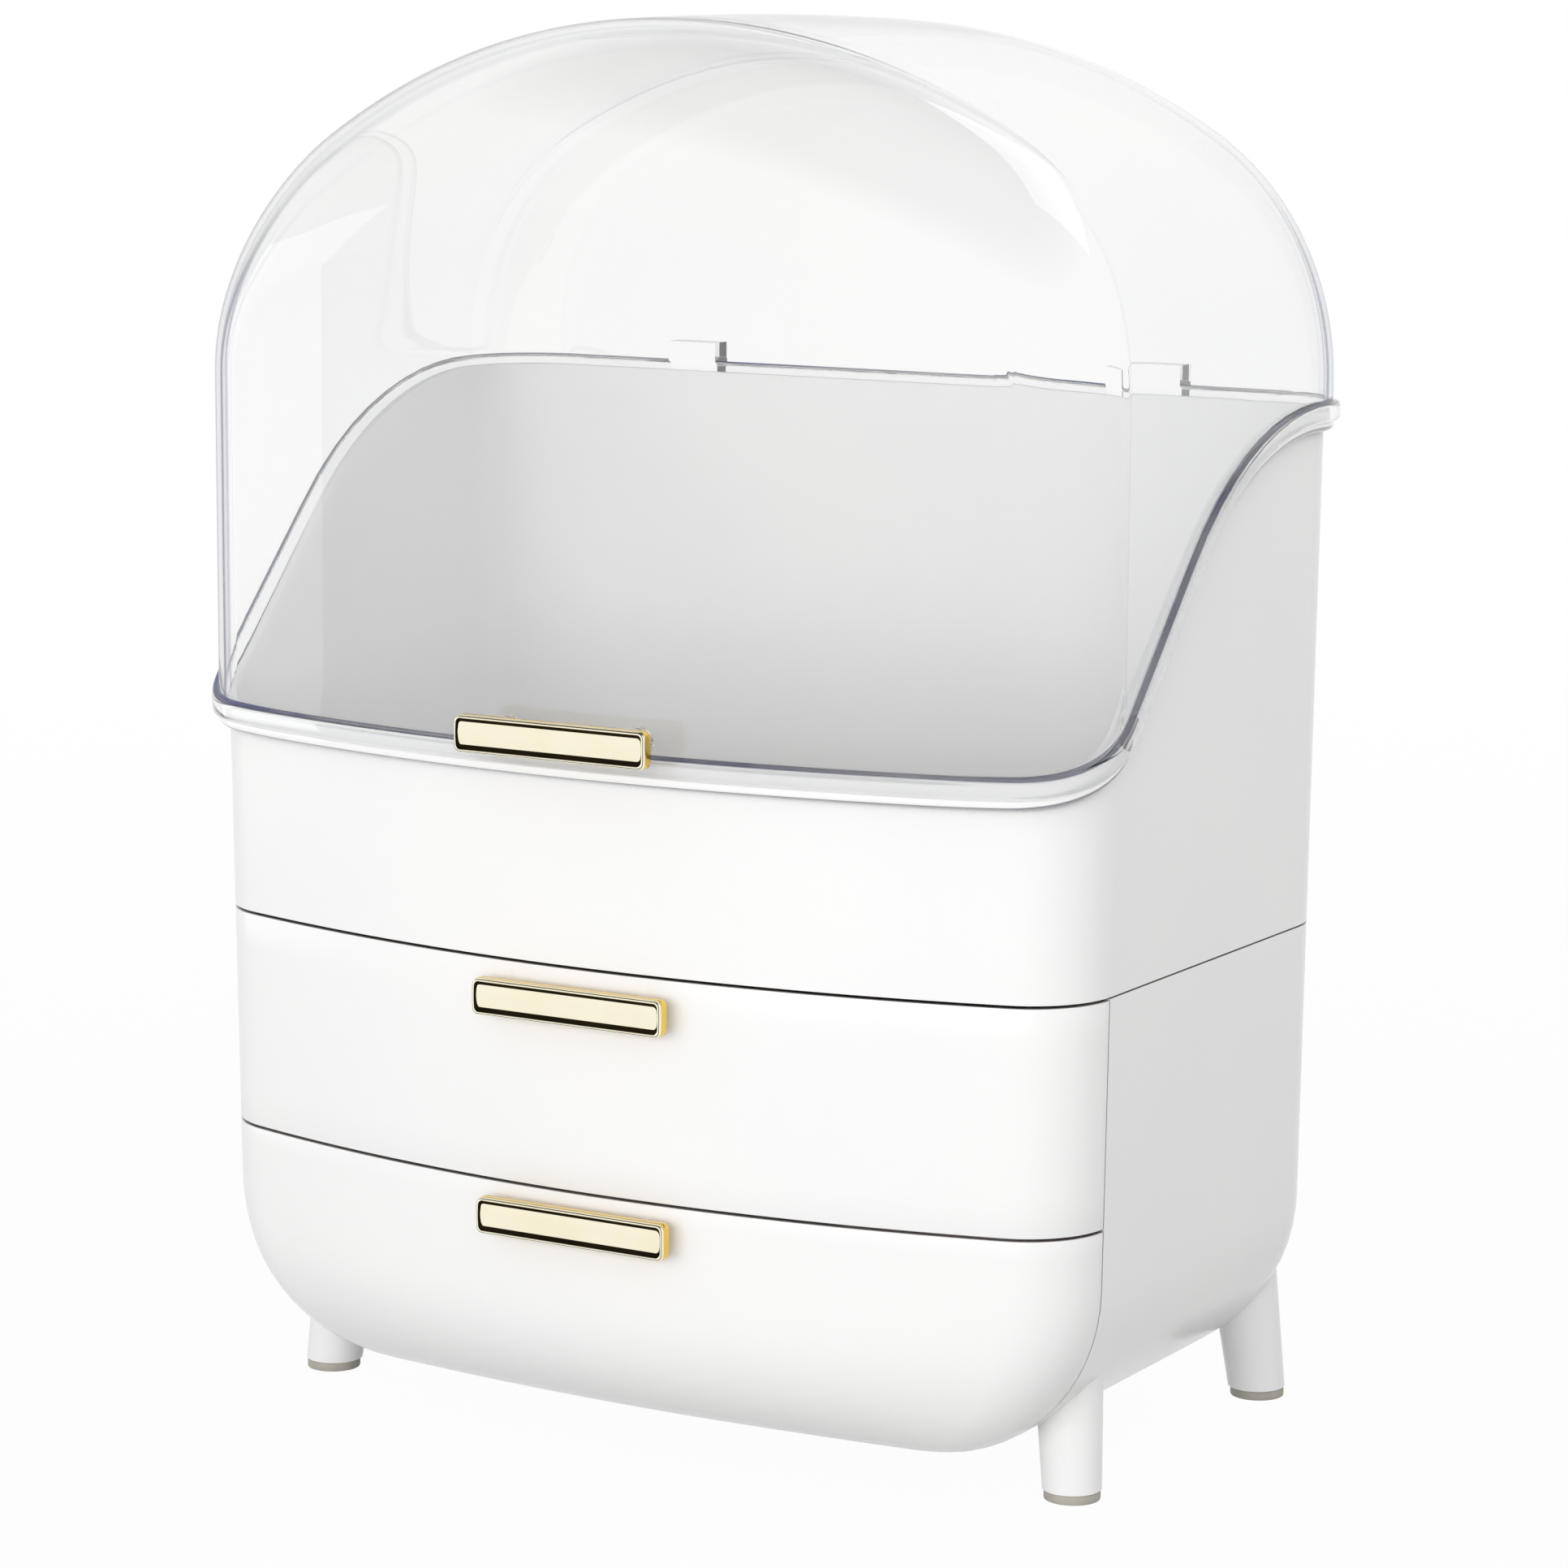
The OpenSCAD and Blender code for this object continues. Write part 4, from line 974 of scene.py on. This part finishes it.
def build_handle(name, body, nodes, seat, z):
    p = Patches()
    front = seat - POST_L - HANDLE_T
    back = seat - POST_L
    # depth behind the front plane, insets at the ends, top and bottom, corner radius, end bulge, finish (0:
    # rim and face, the lit gold; 1: back and sides, the shaded gold; 2: the groove, painted dark)
    table = [
        (4.0, 0.5, 0.5, 0.5, 1.4, 0.1, 1), (3.75, 0.15, 0.15, 0.15, 1.7, 0.1, 1),
        (3.4, 0.0, 0.0, 0.0, 1.8, 0.1, 1), (1.3, 0.0, 0.0, 0.0, 1.8, 0.1, 1),
        (0.75, 0.06, 0.06, 0.06, 1.75, 0.1, 1), (0.35, 0.22, 0.22, 0.22, 1.6, 0.1, 0),
        (0.2, 0.33, 0.33, 0.33, 1.5, 0.1, 0), (0.13, 0.47, 0.46, 0.48, 1.42, 0.1, 2),
        (0.02, 0.60, 0.60, 0.64, 1.3, 0.12, 0), (0.0, 0.68, 0.70, 0.76, 1.2, 0.15, 0),
        (0.1, 0.80, 0.84, 0.90, 1.15, 0.25, 0), (0.45, 0.90, 0.98, 1.05, 1.05, 0.35, 2),
        (0.62, 1.00, 1.20, 1.40, 1.0, 0.45, 2), (0.55, 1.10, 1.75, 2.15, 0.9, 0.55, 2),
        (0.42, 1.25, 1.90, 2.32, 0.8, 0.6, 0), (0.34, 1.6, 2.15, 2.60, 0.7, 0.6, 0),
        (0.24, 2.4, 2.8, 3.2, 0.6, 0.6, 0), (0.17, 4.0, 3.5, 3.9, 0.5, 0.5, 0),
        (0.14, 6.0, 4.1, 4.5, 0.3, 0.3, 0)]
    rows = [bar_ring(front + d, ix, it, il, c, b) for d, ix, it, il, c, b, _ in table]
    for (a, b, info) in zip(rows, rows[1:], table[1:]):
        p.grid([a, b], closed=True, slot=info[6])
    p.face(rows[0][::-1], 1)
    p.face(rows[-1])
    q = Patches()
    q.points = [(x, y, zz + z) for x, y, zz in p.points]
    q.faces, q.slots = p.faces, p.slots
    for x in POSTS:
        rod(q, "y", (x, back - 0.3, z), POST_D, POST_L + 0.3, n=32, slot=1)
    obj = new_object(name, q.bmesh())
    return finish_piece(obj, body, nodes, [gold_lit, gold_shaded_side, groove], angle=40)


# ----------------------------------------
# Legs and pads
# ----------------------------------------
def inside_body(point, e):
    x, y, z = point
    if z < BOTTOM_Z + e:
        return False
    kx, kf, kb = scales(z, e)
    px = abs(x) / kx
    py = y
    if y < Y_SIDE:
        py = Y_SIDE + (y - Y_SIDE) / kf
    elif y > BACK_ROUND_Y:
        py = BACK_ROUND_Y + (y - BACK_ROUND_Y) / kb
    if px > HALF_W or py > Y_BACK:
        return False
    if px > HALF_W - BACK_R and py > Y_BACK - BACK_R:
        return math.hypot(px - HALF_W + BACK_R, py - Y_BACK + BACK_R) < BACK_R
    return True


# how far up an edge line is followed, where it is cut off at the latest, and how deep it enters the body
LEG_REACH, LEG_LIMIT, LEG_SINK = 70.0, 52.0, 0.6
ROUND_N = 56


def build_leg(name, node, sx, foot_y, sy):
    rx, ry = math.radians(sy * SPLAY), math.radians(-sx * SPLAY)
    # the leg is turned about X first, then about Y
    turn = Matrix.Rotation(ry, 3, "Y") @ Matrix.Rotation(rx, 3, "X")
    base = Vector((sx * FOOT_X, foot_y, 0))

    def point(angle, along):
        r = (LEG_D + LEG_TAPER * along / 100) / 2
        return base + turn @ Vector((r * math.cos(angle), r * math.sin(angle), along))
    p = Patches()
    lines = []
    for i in range(ROUND_N):
        a = 2 * math.pi * i / ROUND_N
        low = 0.0
        while point(a, low).z < PAD_H:
            low += 0.01
        lo, hi = low, LEG_REACH
        for _ in range(30):
            mid = (lo + hi) / 2
            if inside_body(point(a, mid), LEG_SINK):
                hi = mid
            else:
                lo = mid
        top = min(hi, LEG_LIMIT)
        lines.append([point(a, low + (top - low) * q) for q in np.linspace(0, 1, 10)])
    rows = [[line[k] for line in lines] for k in range(10)]
    foot = [v.copy() for v in rows[0]]
    centre = sum(foot, Vector()) / ROUND_N
    rows[0] = [centre + (v - centre) * 0.95 for v in foot]
    rows.insert(1, [v + (rows[1][i] - v) * 0.06 for i, v in enumerate(foot)])
    p.grid(rows, closed=True)
    p.face(rows[0][::-1])
    p.fan(rows[-1], sum(rows[-1], Vector()) / ROUND_N + Vector((0, 0, 0.5)), closed=True)
    obj = new_object(name, p.bmesh())
    return finish_piece(obj, "cabinet", [node], [white], angle=35)


def build_pad(name, node, sx, foot_y, sy):
    lean = math.tan(math.radians(SPLAY)) * PAD_H / 2
    x, y = sx * (FOOT_X - lean), foot_y - sy * lean
    p = Patches()
    t = np.linspace(0, 2 * math.pi, ROUND_N, endpoint=False)

    def ring(k, z):
        return np.column_stack([x + PAD_D / 2 * k * np.cos(t), y + PAD_D / 2 * k * np.sin(t),
                                np.full(ROUND_N, z)])
    shape = [(0.80, 0.0), (0.93, 0.0), (0.985, 0.12), (1.0, 0.4), (1.0, 1.9), (0.985, 2.35), (0.95, 2.6)]
    rows = [ring(k, z) for k, z in shape]
    p.grid(rows, closed=True)
    # shallow hollow in the tread
    hollow = [ring(k, z) for k, z in ((0.80, 0.0), (0.74, 0.3), (0.3, 0.3))]
    p.grid(hollow, closed=True)
    p.face(hollow[-1])
    p.face(rows[-1])
    obj = new_object(name, p.bmesh())
    return finish_piece(obj, "cabinet", [node], [pad_rubber], angle=35)


build_cabinet()
build_upper_front()
build_lower_front()
build_boxes()
build_tray()
build_lid()
build_handle("handle_lid", "lid", ["lid_handle"], Y_FRONT - LID_OUT - LID_PAD, LID_HANDLE_Z)
build_handle("handle_upper", "upper_drawer", ["upper_drawer_handle"],
             handle_seat(UPPER_HANDLE_Z), UPPER_HANDLE_Z)
build_handle("handle_lower", "lower_drawer", ["lower_drawer_handle"],
             handle_seat(LOWER_HANDLE_Z), LOWER_HANDLE_Z)
for side, sx in (("left", -1), ("right", 1)):
    for end, foot_y, sy in (("front", Y_FRONT + FOOT_FRONT, -1), ("rear", Y_BACK - FOOT_BACK, 1)):
        build_leg("leg_%s_%s" % (end, side), "%s_%s_leg" % (end, side), sx, foot_y, sy)
        build_pad("pad_%s_%s" % (end, side), "%s_%s_pad" % (end, side), sx, foot_y, sy)

for node, material in (("middle_shelf", inner_white), ("tray_screws", steel), ("hinge_pins", steel),
                       ("lid_handle_screws", steel), ("upper_drawer_screws", steel),
                       ("lower_drawer_screws", steel)):
    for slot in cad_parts[node].material_slots:
        slot.material = material

# ----------------------------------------
# Stage: pale floor, soft light, camera
# ----------------------------------------
def build_floor():
    p = Patches()
    t = np.linspace(0, 2 * math.pi, 96, endpoint=False)
    rows = [np.column_stack([r * np.cos(t), r * np.sin(t), 0 * t]) for r in (20, 400, 1200, 2600)]
    p.grid(rows, closed=True)
    p.face(rows[0])
    obj = new_object("floor", p.bmesh())
    n = Nodes(bpy.data.materials.new("floor_paper"))
    s = n.shader(IOR=1.45)
    s.inputs["Specular IOR Level"].default_value = 0.2
    n.link(n.blend(n.spread(n.noise(3, 3), 0, 1), linear((0.77, 0.77, 0.77)), linear((0.75, 0.75, 0.75))),
           s.inputs["Base Color"])
    n.link(n.spread(n.noise(40, 3), 0.55, 0.7), s.inputs["Roughness"])
    away = n.new("ShaderNodeVectorMath", operation="LENGTH")
    n.link(n.coord, away.inputs[0])
    fade = n.spread(away.outputs["Value"], 0, 1, 0.35, 1.6)
    # pale paper, whitened for what looks at it, so that only a faint shadow stays
    path = n.new("ShaderNodeLightPath").outputs
    looking = n.either(path["Is Camera Ray"], n.either(path["Is Glossy Ray"], path["Is Transmission Ray"]))
    glow = n.new("ShaderNodeEmission")
    glow.inputs["Color"].default_value = (1, 1, 1, 1)
    paper = n.mix(n.maths("MULTIPLY", looking, 0.97), s.outputs[0], glow.outputs[0])
    see = n.new("ShaderNodeBsdfTransparent")
    obj.data.materials.append(n.finish(n.mix(fade, paper, see.outputs[0])))


def build_world():
    world = bpy.data.worlds.new("studio")
    bpy.context.scene.world = world
    n = Nodes(world, "ShaderNodeOutputWorld", "Generated")
    # mirrored and refracted surroundings: white round the horizon, darker overhead
    sky = n.ramp(n.xyz(n.coord)["Z"], [(0.62, (1, 1, 1)), (0.86, (0.08, 0.08, 0.08))])
    shown, plain, light = [n.new("ShaderNodeBackground") for _ in range(3)]
    n.link(sky, shown.inputs["Color"])
    for node, strength in ((plain, 1.0), (light, 0.68)):
        node.inputs["Color"].default_value = (1, 1, 1, 1)
        node.inputs["Strength"].default_value = strength
    path = n.new("ShaderNodeLightPath").outputs
    mirrored = n.either(path["Is Glossy Ray"], path["Is Transmission Ray"])
    seen = n.mix(mirrored, light.outputs[0], shown.outputs[0])
    n.finish(n.mix(path["Is Camera Ray"], seen, plain.outputs[0]))


def toward(azimuth, elevation):
    """Unit vector from the object; azimuth 0 is the front, and it grows to the right."""
    return Vector((math.sin(azimuth) * math.cos(elevation), -math.cos(azimuth) * math.cos(elevation),
                   math.sin(elevation)))


def softbox(name, azimuth, elevation, distance, size, power, mirrored, aim=(0, 0, 0.17)):
    """A lamp that only lights, or a window that only shows in gloss."""
    light = bpy.data.lights.new(name, "AREA")
    light.shape, light.size, light.size_y = "RECTANGLE", size[0], size[1]
    light.energy = power
    obj = bpy.data.objects.new(name, light)
    bpy.context.scene.collection.objects.link(obj)
    way = toward(math.radians(azimuth), math.radians(elevation))
    obj.location = Vector(aim) + way * distance
    obj.rotation_euler = way.to_track_quat("Z", "Y").to_euler()
    obj.visible_glossy, obj.visible_diffuse, obj.visible_transmission = mirrored, not mirrored, False


def build_camera():
    """Fitted to the photo: angles in degrees, target and distance in metres, lens in millimetres."""
    azimuth, elevation, roll = math.radians(30.58), math.radians(9.34), math.radians(0.35)
    target, distance, lens = Vector((0.00049, 0.0166, 0.17252)), 1.37158, 113.52
    back = toward(azimuth, elevation)
    level = Vector((math.cos(azimuth), math.sin(azimuth), 0))
    rise = back.cross(level)
    right = level * math.cos(roll) + rise * math.sin(roll)
    up = rise * math.cos(roll) - level * math.sin(roll)
    data = bpy.data.cameras.new("camera")
    data.sensor_width, data.lens, data.clip_end = 36, lens, 50
    cam = bpy.data.objects.new("camera", data)
    bpy.context.scene.collection.objects.link(cam)
    turn = Matrix((right, up, back)).transposed().to_4x4()
    cam.matrix_world = Matrix.Translation(target + back * distance) @ turn
    bpy.context.scene.camera = cam


build_floor()
build_world()
softbox("key_front", 8, 8, 1.7, (1.7, 0.8), 14.6, False)
softbox("fill_right", 92, 50, 0.95, (0.6, 0.6), 1.3, False, aim=(0, 0, 0.25))
softbox("window_left", -73, 4, 1.8, (0.95, 0.85), 2.4, True)
softbox("window_back", 150, 52, 1.8, (1.1, 0.7), 4.0, True)
build_camera()
bpy.context.scene.view_settings.view_transform = "Standard"
